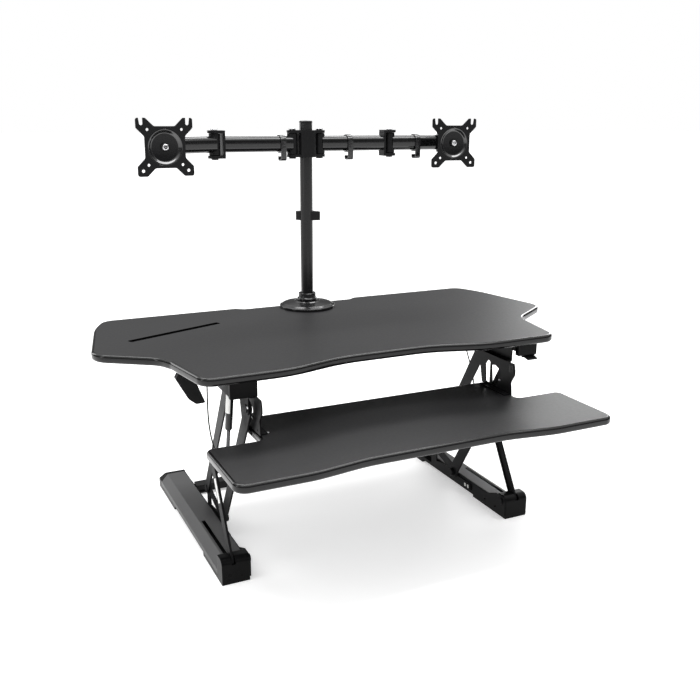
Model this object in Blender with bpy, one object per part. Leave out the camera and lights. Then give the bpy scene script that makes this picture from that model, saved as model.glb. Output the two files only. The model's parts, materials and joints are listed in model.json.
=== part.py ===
"""Standing desk converter: a sit-stand riser with keyboard tray and a dual monitor arm.

Metres, +Z up, -Y towards the user.  The origin is the centre of the footprint on the
surface that the feet stand on.  The riser is shown at its full height.

Lengthwise places are given as distances behind the front face of the feet, and
sideways places as distances from the centre plane, with side = -1 (left) or +1 (right).
"""
import bpy
import bmesh
from math import atan2, cos, hypot, pi, radians, sin
from mathutils import Matrix, Vector

# ---------------------------------------------------------------- driving dimensions
FOOT_FRONT_Y = -0.158          # front face of both feet
FOOT_LENGTH = 0.551
FOOT_INNER_X = 0.3246
FOOT_OUTER_X = 0.3886
FOOT_TOP = 0.040
CAP_TOP = 0.057
PAD_HEIGHT = 0.0077
GAP = 0.0003                   # between parts that touch

# Straight-lift linkage: the front link is half as long as the main arm, so the arm's
# upper pivot rises straight above the link's base pivot while its foot slides back.
LINK_LENGTH = 0.1953
ARM_LENGTH = 2 * LINK_LENGTH
RAISED_ANGLE = radians(59.04)  # main arm above horizontal at full height
BASE_PIVOT = (0.018, 0.042)    # (behind the foot's front, height)
REAR_ARM_OFFSET = (0.104, 0.033)

DESK_TOP = 0.4638
BOARD = 0.018                  # thickness of desktop and tray
TRAY_TOP = 0.3297
DESK_UNDERSIDE = DESK_TOP - BOARD
DESK_HALF_WIDTH = 0.584

# Layers from the centre plane outwards.
HANGER_X = (0.3030, 0.3060)
MAIN_ARM_X = (0.3130, 0.3170)
PLATE_X = (0.3175, 0.3205)
REAR_ARM_X = (0.3210, 0.3250)
RAIL_X = (FOOT_INNER_X, 0.3271)
GAS_X = 0.3370
LINK_X = (0.3595, 0.3645)
OUTER_PLATE_X = (0.3580, 0.3610)

PIN_RADIUS = 0.006
PIN_CLEARANCE = 0.0004
ARM_WIDTH = 0.036
LINK_WIDTH = 0.025

# Gas spring, on the left leg only.
GAS_TOP = (0.0608, 0.428)
GAS_FOOT_FROM_TOP_PIVOT = 0.1653   # along the main arm, from its upper pivot
GAS_BODY_LENGTH = 0.120
GAS_BODY_RADIUS = 0.008
GAS_ROD_RADIUS = 0.004
GAS_ROD_LENGTH = 0.103

# Release paddle under the desktop's left notch, hinged along Y.
PADDLE_PIVOT = (-0.4250, 0.4365)   # (X, height)
PADDLE_BEHIND = 0.110
PADDLE_THICKNESS = 0.016

# Locking tab under the right leg's front housing, hinged along X.
TAB_PIVOT = (-0.0060, 0.4145)      # (behind the foot's front, height)
TAB_X = (0.3475, 0.3725)

# Monitor mount.
MAST_X = 0.010
MAST_BEHIND = 0.480
MAST_RADIUS = 0.0158
MAST_TOP = 0.930
ARM_HEIGHT = 0.880
KNUCKLE_OFFSET = 0.0365        # mast axis to an inner arm's pivot
ELBOW_OFFSET = 0.236
OUTER_ARM_LENGTH = 0.160       # elbow to head
OUTER_SWING = {"left": radians(20), "right": radians(0)}   # forwards of the inner arm
HEAD_TURN = {"left": radians(0), "right": radians(-7)}     # swivel about the vertical
CLIP_OFFSET = {"left": -0.066, "right": 0.116}   # inner arms' clips from the mast
FORK_HALF = 0.0325             # half height of the forked ends
KNUCKLE_HALF = 0.0255
TUBE_HALF = 0.0190
TILT_FORWARD = 0.044           # swivel axis to tilt axis
PLATE_FORWARD = 0.074          # swivel axis to the back of the mounting plate
VESA_SMALL = 0.075
VESA_LARGE = 0.100
VESA_PLATE = 0.124

# Bolt of the mount's knuckles: (radius, height) from the underside of its head.
BOLT_PROFILE = [(0, 0), (0.0085, 0), (0.0085, 0.0040), (0.005, 0.0040),
                (0.005, 2 * FORK_HALF + 0.0030), (0.0085, 2 * FORK_HALF + 0.0030),
                (0.0085, 2 * FORK_HALF + 0.0070), (0, 2 * FORK_HALF + 0.0070)]

SIDES = (("left", -1), ("right", 1))


def behind(distance):
    """Y of a place that is this far behind the front face of the feet."""
    return FOOT_FRONT_Y + distance


def linkage_point(fraction_along_arm):
    """A point on the main arm, from its lower pivot (0) to its upper pivot (1)."""
    foot = BASE_PIVOT[0] + ARM_LENGTH * cos(RAISED_ANGLE)
    along = fraction_along_arm * ARM_LENGTH
    return (foot - along * cos(RAISED_ANGLE), BASE_PIVOT[1] + along * sin(RAISED_ANGLE))


ARM_FOOT = linkage_point(0.0)
ARM_MIDDLE = linkage_point(0.5)
ARM_HEAD = linkage_point(1.0)
REAR_ARM_FOOT = (ARM_FOOT[0] + REAR_ARM_OFFSET[0], ARM_FOOT[1] + REAR_ARM_OFFSET[1])
REAR_ARM_HEAD = (ARM_HEAD[0] + REAR_ARM_OFFSET[0], ARM_HEAD[1] + REAR_ARM_OFFSET[1])
GAS_FOOT = linkage_point(1.0 - GAS_FOOT_FROM_TOP_PIVOT / ARM_LENGTH)


# ---------------------------------------------------------------- scene and materials
for old in list(bpy.data.objects):
    bpy.data.objects.remove(old, do_unlink=True)

FINISHES = {
    "black_steel": ((0.030, 0.030, 0.032, 1), 0.42, 0.6),
    "laminate": ((0.035, 0.035, 0.037, 1), 0.55, 0.0),
    "black_plastic": ((0.018, 0.018, 0.019, 1), 0.38, 0.0),
    "rubber": ((0.012, 0.012, 0.012, 1), 0.85, 0.0),
    "nylon": ((0.86, 0.86, 0.84, 1), 0.45, 0.0),
    "chrome_rod": ((0.10, 0.10, 0.105, 1), 0.15, 1.0),
    "gloss_black": ((0.010, 0.010, 0.011, 1), 0.12, 0.0),
}


def finish_material(name):
    """Material of one finish, made the first time that it is asked for."""
    material = bpy.data.materials.get(name)
    if material is None:
        colour, roughness, metallic = FINISHES[name]
        material = bpy.data.materials.new(name)
        material.use_nodes = True
        shader = material.node_tree.nodes["Principled BSDF"]
        shader.inputs["Base Color"].default_value = colour
        shader.inputs["Roughness"].default_value = roughness
        shader.inputs["Metallic"].default_value = metallic
    return material


def pivot_empty(name, y, z, x=0.0, parent=None):
    """Empty on a joint's axis; the pieces that turn about it are its children."""
    empty = bpy.data.objects.new(name, None)
    bpy.context.collection.objects.link(empty)
    here = Vector((x, y, z))
    if parent is not None:
        empty.parent = parent
        here -= place_of(parent)
    empty.location = here
    return empty


def place_of(empty):
    """World place of an empty, following its parents."""
    place = Vector((0, 0, 0))
    while empty is not None:
        place += empty.location
        empty = empty.parent
    return place


def make_object(name, mesh_bm, finish, parent=None, smooth=True):
    """Turn a bmesh in world coordinates into a named object under its pivot empty."""
    bmesh.ops.recalc_face_normals(mesh_bm, faces=mesh_bm.faces)
    mesh = bpy.data.meshes.new(name)
    mesh_bm.to_mesh(mesh)
    mesh_bm.free()
    obj = bpy.data.objects.new(name, mesh)
    bpy.context.collection.objects.link(obj)
    mesh.materials.append(finish_material(finish))
    if parent is not None:
        mesh.transform(Matrix.Translation(-place_of(parent)))
        obj.parent = parent
    if smooth:
        mesh.shade_smooth()
        mesh.set_sharp_from_angle(angle=radians(35))
    return obj


# ---------------------------------------------------------------- outlines
def circle(centre, radius, segments=20):
    """Points round a circle."""
    return [(centre[0] + radius * cos(2 * pi * k / segments),
             centre[1] + radius * sin(2 * pi * k / segments)) for k in range(segments)]


def box_outline(low, high):
    """Corners of a rectangle."""
    return [(low[0], low[1]), (high[0], low[1]), (high[0], high[1]), (low[0], high[1])]


def rounded(corners, segments=5):
    """Outline through corners (x, y, radius), each corner turned into an arc."""
    points = []
    count = len(corners)
    for index, (x, y, radius) in enumerate(corners):
        here = Vector((x, y))
        before = Vector(corners[index - 1][:2])
        after = Vector(corners[(index + 1) % count][:2])
        if radius == 0:
            points.append((x, y))
            continue
        back = (before - here).normalized()
        ahead = (after - here).normalized()
        half = back.angle(ahead) / 2
        centre = here + (back + ahead).normalized() * radius / sin(half)
        start = here + back * radius / (sin(half) / cos(half)) - centre
        end = here + ahead * radius / (sin(half) / cos(half)) - centre
        first = atan2(start.y, start.x)
        turn = (atan2(end.y, end.x) - first + pi) % (2 * pi) - pi
        for step in range(segments + 1):
            angle = first + turn * step / segments
            points.append((centre.x + radius * cos(angle), centre.y + radius * sin(angle)))
    return points


def hull(circles, segments=20):
    """Outline of a plate stretched round bosses (centre, radius), in any order."""
    cloud = []
    for centre, radius in circles:
        cloud += circle(centre, radius, segments)
    cloud = sorted(set((round(x, 7), round(y, 7)) for x, y in cloud))

    def half(points):
        chain = []
        for point in points:
            while len(chain) > 1:
                (ax, ay), (bx, by) = chain[-2], chain[-1]
                if (bx - ax) * (point[1] - ay) - (by - ay) * (point[0] - ax) > 1e-10:
                    break
                chain.pop()
            chain.append(point)
        return chain[:-1]
    return half(cloud) + half(cloud[::-1])


def mirrored(points):
    """A half outline on the right, closed with its mirror image on the left."""
    return points + [(-x, y) for x, y in reversed(points)]


# ---------------------------------------------------------------- solids
def add_prism(bm, outline, low, high, axis, holes=()):
    """Extrude an outline with holes along an axis; (u, v) are the other two axes."""
    def vector(u, v, w):
        return {"x": (w, u, v), "y": (u, w, v), "z": (u, v, w)}[axis]
    edges = []
    for loop in [outline, *holes]:
        verts = [bm.verts.new(vector(u, v, low)) for u, v in loop]
        edges += [bm.edges.new((verts[k - 1], verts[k])) for k in range(len(verts))]
    filled = bmesh.ops.triangle_fill(bm, edges=edges, use_beauty=True, use_dissolve=False)
    faces = [item for item in filled["geom"] if isinstance(item, bmesh.types.BMFace)]
    grown = bmesh.ops.extrude_face_region(bm, geom=faces, use_keep_orig=True)
    moved = [item for item in grown["geom"] if isinstance(item, bmesh.types.BMVert)]
    shift = Vector(vector(0, 0, high - low))
    bmesh.ops.translate(bm, verts=moved, vec=shift)


def add_rod(bm, start, end, radius, segments=20, end_radius=None):
    """Round bar between two points."""
    start, end = Vector(start), Vector(end)
    along = end - start
    turn = Vector((0, 0, 1)).rotation_difference(along).to_matrix().to_4x4()
    place = Matrix.Translation((start + end) / 2) @ turn
    far = radius if end_radius is None else end_radius
    bmesh.ops.create_cone(bm, cap_ends=True, segments=segments, radius1=radius,
                          radius2=far, depth=along.length, matrix=place)


def add_turned(bm, profile, start, direction, segments=24):
    """Solid of revolution; profile is (radius, distance) along the direction."""
    turn = Vector((0, 0, 1)).rotation_difference(Vector(direction)).to_matrix().to_4x4()
    place = Matrix.Translation(Vector(start)) @ turn
    rings = []
    for radius, height in profile:
        if radius == 0:
            rings.append([bm.verts.new(place @ Vector((0, 0, height)))])
            continue
        rings.append([bm.verts.new(place @ Vector((radius * cos(2 * pi * k / segments),
                                                   radius * sin(2 * pi * k / segments), height)))
                      for k in range(segments)])
    closed = profile[0][0] > 0
    pairs = list(zip(rings, rings[1:])) + ([(rings[-1], rings[0])] if closed else [])
    for ring, after in pairs:
        for k in range(segments):
            quad = [ring[k % len(ring)], ring[(k + 1) % len(ring)],
                    after[(k + 1) % len(after)], after[k % len(after)]]
            corners = []
            for vert in quad:
                if vert not in corners:
                    corners.append(vert)
            if len(corners) > 2:
                bm.faces.new(corners)


def plate(name, outline, span, finish, side=1, holes=(), parent=None, axis="x"):
    """Flat plate; for axis x the span is mirrored to its side of the centre plane."""
    bm = bmesh.new()
    low, high = (side * span[0], side * span[1]) if axis == "x" else span
    add_prism(bm, outline, low, high, axis, holes)
    return make_object(name, bm, finish, parent)


def cut(target, bm, name, solver="EXACT"):
    """Subtract a cutter's solid from an object."""
    cutter = make_object(name, bm, "rubber", smooth=False)
    cutter.hide_render = True
    cutter.display_type = "WIRE"
    modifier = target.modifiers.new(name, "BOOLEAN")
    modifier.operation = "DIFFERENCE"
    modifier.solver = solver
    modifier.object = cutter
    return cutter


def join_on(target, bm, name, solver="EXACT"):
    """Weld a further solid onto an object."""
    tool = make_object(name, bm, "rubber", smooth=False)
    tool.hide_render = True
    tool.display_type = "WIRE"
    modifier = target.modifiers.new(name, "BOOLEAN")
    modifier.operation = "UNION"
    modifier.solver = solver
    modifier.use_self = True
    modifier.object = tool
    return tool


def leg_point(place):
    """(Y, Z) of a leg place given as (behind the foot's front, height)."""
    return (behind(place[0]), place[1])


# ---------------------------------------------------------------- joint axes
link_axis = pivot_empty("link_axis", *leg_point(BASE_PIVOT))
arm_axis = pivot_empty("arm_axis", *leg_point(ARM_MIDDLE), parent=link_axis)
desk_axis = pivot_empty("desk_axis", *leg_point(ARM_HEAD), parent=arm_axis)
carriage_axis = pivot_empty("carriage_axis", *leg_point(ARM_FOOT), parent=arm_axis)
rear_arm_axis = pivot_empty("rear_arm_axis", *leg_point(REAR_ARM_HEAD), parent=desk_axis)
gas_axis = pivot_empty("gas_axis", *leg_point(GAS_TOP), x=-GAS_X, parent=desk_axis)
paddle_axis = pivot_empty("paddle_axis", behind(PADDLE_BEHIND), PADDLE_PIVOT[1],
                          x=PADDLE_PIVOT[0], parent=desk_axis)
tab_axis = pivot_empty("tab_axis", *leg_point(TAB_PIVOT), parent=desk_axis)
mast_axis = pivot_empty("mast_axis", behind(MAST_BEHIND), ARM_HEIGHT, x=MAST_X,
                        parent=desk_axis)


# ---------------------------------------------------------------- feet
def foot_rail(label, side):
    """Steel side plate that carries the link's pivot and the glide's slot."""
    outline = rounded([(behind(0.001), 0.008, 0), (behind(0.001), 0.055, 0.013),
                       (behind(0.038), 0.055, 0.008), (behind(0.078), 0.038, 0.008),
                       (behind(0.5245), 0.038, 0), (behind(0.5245), 0.008, 0)], 4)
    slot = rounded([(behind(0.141), 0.0165, 0.004), (behind(0.141), 0.0335, 0.004),
                    (behind(0.5125), 0.0335, 0.004), (behind(0.5125), 0.0165, 0.004)], 3)
    screw_holes = [circle((behind(0.040), 0.018), 0.003, 10),
                   circle((behind(0.084), 0.019), 0.003, 10)]
    rail = plate(f"side_rail_{label}", outline, RAIL_X, "black_steel", side,
                 [slot, *screw_holes])
    bolt = bmesh.new()
    add_turned(bolt, [(0, 0), (0.0085, 0), (0.0085, 0.0045), (0.005, 0.0045),
                      (0.005, 0.0620), (0, 0.0620)],
               (side * (FOOT_INNER_X - 0.0035), *leg_point(BASE_PIVOT)), (side, 0, 0), 18)
    join_on(rail, bolt, f"link_base_bolt_{label}")


def foot_cover(label, side):
    """Folded sheet over the foot, with the slot that the front link folds into."""
    sheet = 0.002
    ridge_x, chamfer_z = 0.372, 0.021
    inner_x = RAIL_X[1] + GAP
    profile = [(inner_x, FOOT_TOP), (ridge_x, FOOT_TOP), (FOOT_OUTER_X, chamfer_z),
               (FOOT_OUTER_X, 0.008), (FOOT_OUTER_X - sheet, 0.008),
               (FOOT_OUTER_X - sheet, chamfer_z - 0.0008),
               (ridge_x - 0.0009, FOOT_TOP - sheet), (inner_x, FOOT_TOP - sheet)]
    profile = [(side * x, z) for x, z in profile]
    cover = plate(f"foot_cover_{label}", profile, (behind(0.034), behind(0.5247)),
                  "black_steel", axis="y")
    slot = bmesh.new()
    add_prism(slot, box_outline((behind(0.030), 0.030), (behind(0.228), 0.050)),
              side * 0.3578, side * 0.3662, "x")
    cut(cover, slot, f"link_slot_{label}")


def front_cap(label, side):
    """Moulded block that holds the link's base pivot, with its long pad."""
    outline = rounded([(behind(0.0), 0.0, 0), (behind(0.0), CAP_TOP, 0.015),
                       (behind(0.0337), CAP_TOP, 0.003), (behind(0.0337), PAD_HEIGHT, 0),
                       (behind(0.141), PAD_HEIGHT, 0), (behind(0.141), 0.0, 0)], 5)
    cap = plate(f"front_cap_{label}", outline, (RAIL_X[1] + GAP, FOOT_OUTER_X),
                "black_plastic", side)
    pocket = bmesh.new()
    add_prism(pocket, [(behind(0.0045), 0.0275), (behind(0.0045), 0.043),
                       (behind(-0.004), 0.043), (behind(-0.004), 0.070),
                       (behind(0.040), 0.070), (behind(0.040), 0.0275)],
              side * 0.3578, side * 0.3662, "x")
    cut(cap, pocket, f"link_pocket_{label}")
    bore = bmesh.new()
    y, z = leg_point(BASE_PIVOT)
    add_rod(bore, (side * 0.320, y, z), (side * 0.3845, y, z), 0.0054, 16)
    cut(cap, bore, f"link_bore_{label}")


def rear_cap(label, side):
    """Moulded end of the foot, with its long pad."""
    outline = rounded([(behind(0.525), PAD_HEIGHT, 0), (behind(0.525), FOOT_TOP, 0.001),
                       (behind(0.538), FOOT_TOP, 0.008), (behind(FOOT_LENGTH), 0.022, 0.006),
                       (behind(FOOT_LENGTH), 0.0, 0.001), (behind(0.393), 0.0, 0),
                       (behind(0.393), PAD_HEIGHT, 0)], 4)
    cap = plate(f"rear_cap_{label}", outline, (FOOT_INNER_X, FOOT_OUTER_X),
                "black_plastic", side)
    wedge = bmesh.new()
    corner = [(side * 0.372, 0.0404), (side * 0.392, 0.0173), (side * 0.400, 0.0173),
              (side * 0.400, 0.060), (side * 0.372, 0.060)]
    add_prism(wedge, corner, behind(0.500), behind(0.560), "y")
    cut(cap, wedge, f"cap_chamfer_{label}")


def rear_crossbar():
    """Folded channel with flat ends that ties the two feet together at the back."""
    wall = 0.0025
    low, high, floor, top = behind(0.457), behind(0.487), 0.003, 0.0225
    profile = [(low, floor), (low, top), (high, top), (high, floor),
               (high - wall, floor), (high - wall, top - wall),
               (low + wall, top - wall), (low + wall, floor)]
    bm = bmesh.new()
    add_prism(bm, profile, -0.3120, 0.3120, "x")
    bar = make_object("rear_crossbar", bm, "black_steel")
    feet = bmesh.new()
    reach = FOOT_INNER_X - GAP
    for start, end in ((-reach, -0.2900), (0.2900, reach)):
        add_prism(feet, box_outline((start, low - 0.006), (end, high + 0.006)),
                  floor - 0.0005, floor + 0.0030, "z")
    join_on(bar, feet, "crossbar_feet")


# ---------------------------------------------------------------- linkage
def front_link(label, side):
    """Front link: a shallow channel with its lips turned inwards."""
    base, middle = leg_point(BASE_PIVOT), leg_point(ARM_MIDDLE)
    radius = LINK_WIDTH / 2
    holes = [circle(base, 0.0054, 16)]
    link = plate(f"front_link_{label}", hull([(base, radius), (middle, radius)], 20), LINK_X,
                 "black_steel", side, holes, link_axis)
    groove = bmesh.new()
    along = Vector((middle[0] - base[0], middle[1] - base[1])).normalized()
    across = Vector((-along.y, along.x)) * (radius - 0.0035)
    start, end = Vector(base) + along * 0.022, Vector(middle) - along * 0.022
    corners = [tuple(start - across), tuple(end - across), tuple(end + across),
               tuple(start + across)]
    add_prism(groove, corners, side * (LINK_X[0] - 0.001), side * (LINK_X[0] + 0.003), "x")
    cut(link, groove, f"link_groove_{label}")
    axle = bmesh.new()
    add_turned(axle, [(0, 0), (0.009, 0), (0.009, 0.003), (PIN_RADIUS, 0.003),
                      (PIN_RADIUS, 0.0077), (0.008, 0.0077), (0.008, 0.0515),
                      (0.009, 0.0515), (0.009, 0.0545), (0, 0.0545)],
               (side * (MAIN_ARM_X[0] - 0.0034), *middle), (side, 0, 0), 18)
    join_on(link, axle, f"middle_axle_{label}")


def main_arm(label, side):
    """Front arm of the parallelogram, pivoted at both ends and at its middle."""
    foot, middle, head = map(leg_point, (ARM_FOOT, ARM_MIDDLE, ARM_HEAD))
    bore = PIN_RADIUS + PIN_CLEARANCE
    holes = [circle(point, bore, 16) for point in (foot, middle, head)]
    arm = plate(f"main_arm_{label}", hull([(foot, 0.0155), (head, ARM_WIDTH / 2)], 24),
                MAIN_ARM_X, "black_steel", side, holes, arm_axis)
    if side < 0:
        stud = bmesh.new()
        y, z = leg_point(GAS_FOOT)
        add_rod(stud, (-MAIN_ARM_X[0] - 0.001, y, z), (-(GAS_X - 0.0075), y, z), 0.005, 16)
        join_on(arm, stud, "gas_spring_stud")


def rear_arm(label, side):
    """Rear arm of the parallelogram, which keeps the desktop level."""
    foot, head = leg_point(REAR_ARM_FOOT), leg_point(REAR_ARM_HEAD)
    bore = PIN_RADIUS + PIN_CLEARANCE
    shape = hull([(foot, 0.0125), (head, ARM_WIDTH / 2)], 24)
    plate(f"rear_arm_{label}", shape, REAR_ARM_X, "black_steel", side,
          [circle(foot, bore, 16), circle(head, bore, 16)], rear_arm_axis)


def carriage_plate(label, side):
    """Triangular plate that joins the arms' feet and slides along the rail."""
    foot, rear = leg_point(ARM_FOOT), leg_point(REAR_ARM_FOOT)
    low = (rear[0], 0.0265)
    outline = hull([(foot, 0.015), (rear, 0.012), (low, 0.0105)], 20)
    pull = 0.62
    centre = ((foot[0] + 2 * rear[0]) / 3 - 0.002, (foot[1] + rear[1] + low[1]) / 3)
    window = [(centre[0] + (x - centre[0]) * pull, centre[1] + (z - centre[1]) * pull)
              for x, z in ((foot[0] + 0.010, foot[1]), (rear[0] - 0.002, rear[1] - 0.006),
                           (low[0] - 0.002, low[1] + 0.003))]
    carriage = plate(f"carriage_plate_{label}", outline, PLATE_X, "black_steel", side, [window],
                     carriage_axis)
    pins = bmesh.new()
    add_turned(pins, [(0, 0), (0.0085, 0), (0.0105, 0.002), (0.0105, 0.0077),
                      (PIN_RADIUS, 0.0077), (PIN_RADIUS, 0.0145), (0, 0.0145)],
               (side * (MAIN_ARM_X[0] - 0.0080), *foot), (side, 0, 0), 20)
    add_turned(pins, [(0, 0), (0.009, 0), (0.009, 0.0045), (PIN_RADIUS, 0.0045),
                      (PIN_RADIUS, 0.0110), (0.009, 0.0110), (0.009, 0.0126), (0, 0.0126)],
               (side * (PLATE_X[0] - 0.0033), *rear), (side, 0, 0), 18)
    join_on(carriage, pins, f"carriage_pins_{label}")


def glide_shoe(label, side):
    """Nylon shoe that runs in the rail's slot."""
    bm = bmesh.new()
    inner = side * (PLATE_X[1] + GAP)
    outer = side * 0.3400
    outline = rounded([(behind(0.147), 0.0172, 0.003), (behind(0.147), 0.0328, 0.003),
                       (behind(0.318), 0.0328, 0.003), (behind(0.318), 0.0172, 0.003)], 3)
    add_prism(bm, outline, inner, outer, "x")
    make_object(f"glide_shoe_{label}", bm, "nylon", carriage_axis)


# ---------------------------------------------------------------- gas spring
def gas_direction():
    """Unit vector down the gas spring, from its upper to its lower eye."""
    y = GAS_FOOT[0] - GAS_TOP[0]
    z = GAS_FOOT[1] - GAS_TOP[1]
    return Vector((0, y, z)).normalized()


def gas_spring():
    """Cylinder with a blind bore, and the rod that slides in it."""
    down = gas_direction()
    top = Vector((-GAS_X, *leg_point(GAS_TOP)))
    bm = bmesh.new()
    bore = GAS_ROD_RADIUS + 0.0006
    add_turned(bm, [(0, 0.009), (0.0055, 0.009), (GAS_BODY_RADIUS, 0.016),
                    (GAS_BODY_RADIUS, GAS_BODY_LENGTH - 0.006), (0.0057, GAS_BODY_LENGTH),
                    (bore, GAS_BODY_LENGTH), (bore, 0.028), (0, 0.028)], top, down, 20)
    cylinder = make_object("gas_cylinder", bm, "gloss_black", gas_axis)
    eye = bmesh.new()
    y, z = leg_point(GAS_TOP)
    add_prism(eye, circle((y, z), 0.0095, 20), -GAS_X - 0.006, -GAS_X + 0.006, "x")
    join_on(cylinder, eye, "gas_upper_eye")
    hole = bmesh.new()
    add_rod(hole, (-GAS_X - 0.02, y, z), (-GAS_X + 0.02, y, z), 0.0044, 16)
    cut(cylinder, hole, "gas_upper_eye_bore")

    rod_bm = bmesh.new()
    foot = Vector((-GAS_X, *leg_point(GAS_FOOT)))
    add_rod(rod_bm, foot - down * 0.006, foot - down * GAS_ROD_LENGTH, GAS_ROD_RADIUS, 16)
    rod = make_object("gas_rod", rod_bm, "chrome_rod", gas_axis)
    knob = bmesh.new()
    add_prism(knob, circle(leg_point(GAS_FOOT), 0.0085, 20), -GAS_X - 0.0065, -GAS_X + 0.0068,
              "x")
    join_on(rod, knob, "gas_lower_eye")


# ---------------------------------------------------------------- desk
def desk_outline():
    """Winged desktop with a curved front edge and a shallow recess at the back."""
    half = [(0.0, 0.521, 0), (0.150, 0.521, 0.010), (0.170, 0.536, 0.010),
            (0.503, 0.536, 0.030), (0.536, 0.480, 0.060), (DESK_HALF_WIDTH, 0.238, 0.034),
            (0.462, 0.155, 0.060), (0.446, 0.118, 0.040), (0.420, -0.029, 0.034),
            (0.235, -0.029, 0.300), (0.105, 0.008, 0.300), (0.0, 0.008, 0)]
    mirror = [(-x, y, r) for x, y, r in reversed(half) if x > 0]
    corners = [(x, behind(y), r) for x, y, r in half + mirror]
    return rounded(corners, 5)


def tablet_groove():
    """Slanted groove in the left of the desktop that holds a tablet upright."""
    ends = (Vector((-0.486, behind(0.314))), Vector((-0.258, behind(0.399))))
    along = (ends[1] - ends[0]).normalized()
    across = Vector((-along.y, along.x)) * 0.0065
    corners = [ends[0] - across, ends[1] - across, ends[1] + across, ends[0] + across]
    return rounded([(c.x, c.y, 0.004) for c in corners], 3)


def desktop():
    """Laminated board with rounded edges and the tablet groove."""
    bm = bmesh.new()
    add_prism(bm, desk_outline(), DESK_UNDERSIDE, DESK_TOP, "z")
    board = make_object("desktop", bm, "laminate", desk_axis)
    rounding = board.modifiers.new("edge", "BEVEL")
    rounding.width = 0.0055
    rounding.segments = 2
    rounding.limit_method = "ANGLE"
    rounding.angle_limit = radians(60)
    groove = bmesh.new()
    add_prism(groove, tablet_groove(), DESK_TOP - 0.010, DESK_TOP + 0.010, "z")
    cut(board, groove, "tablet_groove")


def keyboard_tray():
    """Lower board, wider in front of the legs than between them."""
    half = [(0.0, 0.093, 0), (0.310, 0.093, 0.010), (0.310, -0.042, 0.010),
            (0.426, -0.042, 0.016), (0.426, -0.235, 0.026), (0.270, -0.235, 0.300),
            (0.160, -0.218, 0.300), (0.0, -0.218, 0)]
    mirror = [(-x, y, r) for x, y, r in reversed(half) if x > 0]
    bm = bmesh.new()
    add_prism(bm, rounded([(x, behind(y), r) for x, y, r in half + mirror], 5),
              TRAY_TOP - BOARD, TRAY_TOP, "z")
    tray = make_object("keyboard_tray", bm, "laminate", desk_axis)
    rounding = tray.modifiers.new("edge", "BEVEL")
    rounding.width = 0.0055
    rounding.segments = 2
    rounding.limit_method = "ANGLE"
    rounding.angle_limit = radians(60)


def lift_bracket(label, side):
    """Folded channel under the desktop that carries both arms' upper pivots."""
    top = DESK_UNDERSIDE - GAP
    sheet = 0.0025
    bm = bmesh.new()
    profile = [(PLATE_X[0], 0.404), (PLATE_X[0], top), (OUTER_PLATE_X[1], top),
               (OUTER_PLATE_X[1], 0.413), (OUTER_PLATE_X[0], 0.413),
               (OUTER_PLATE_X[0], top - sheet), (PLATE_X[1], top - sheet), (PLATE_X[1], 0.404)]
    add_prism(bm, [(side * x, z) for x, z in profile], behind(0.0), behind(0.330), "y")
    bracket = make_object(f"lift_bracket_{label}", bm, "black_steel", desk_axis)
    head, rear = leg_point(ARM_HEAD), leg_point(REAR_ARM_HEAD)
    ears = bmesh.new()
    low, high = side * (PLATE_X[0] + 0.0001), side * (PLATE_X[1] - 0.0001)
    front_ear = hull([(head, 0.0145), ((behind(0.014), 0.425), 0.010),
                      ((behind(0.078), 0.4110), 0.004)], 20)
    rear_ear = hull([(rear, 0.0150), ((behind(0.090), 0.4200), 0.006),
                     ((behind(0.165), 0.4200), 0.006)], 20)
    for ear in (front_ear, rear_ear):
        add_prism(ears, ear, low, high, "x")
    join_on(bracket, ears, f"pivot_ears_{label}")
    pins = bmesh.new()
    add_turned(pins, [(0, 0), (0.009, 0), (0.009, 0.003), (PIN_RADIUS, 0.003),
                      (PIN_RADIUS, 0.0100), (0.009, 0.0100), (0.009, 0.0130), (0, 0.0130)],
               (side * (MAIN_ARM_X[0] - 0.0034), *head), (side, 0, 0), 18)
    add_turned(pins, [(0, 0), (0.009, 0), (0.009, 0.0045), (PIN_RADIUS, 0.0045),
                      (PIN_RADIUS, 0.0110), (0.009, 0.0110), (0.009, 0.0126), (0, 0.0126)],
               (side * (PLATE_X[0] - 0.0033), *rear), (side, 0, 0), 18)
    if side < 0:
        add_turned(pins, [(0, 0), (0.007, 0), (0.007, 0.0045), (0.004, 0.0045),
                          (0.004, 0.0450), (0.007, 0.0450), (0.007, 0.0482), (0, 0.0482)],
                   (-(PLATE_X[0] - 0.0033), *leg_point(GAS_TOP)), (-1, 0, 0), 16)
    join_on(bracket, pins, f"desk_pins_{label}")


def front_cover():
    """Moulded cover over the front end of the left lift bracket."""
    top = DESK_UNDERSIDE - GAP
    outline = rounded([(-0.3040, 0.409, 0.002), (-0.3615, 0.409, 0.002),
                       (-0.3615, top, 0), (-0.3040, top, 0)], 3)
    plate("front_cover", outline, (behind(-0.0100), behind(-0.0003)), "black_plastic",
          axis="y", parent=desk_axis)


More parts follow.
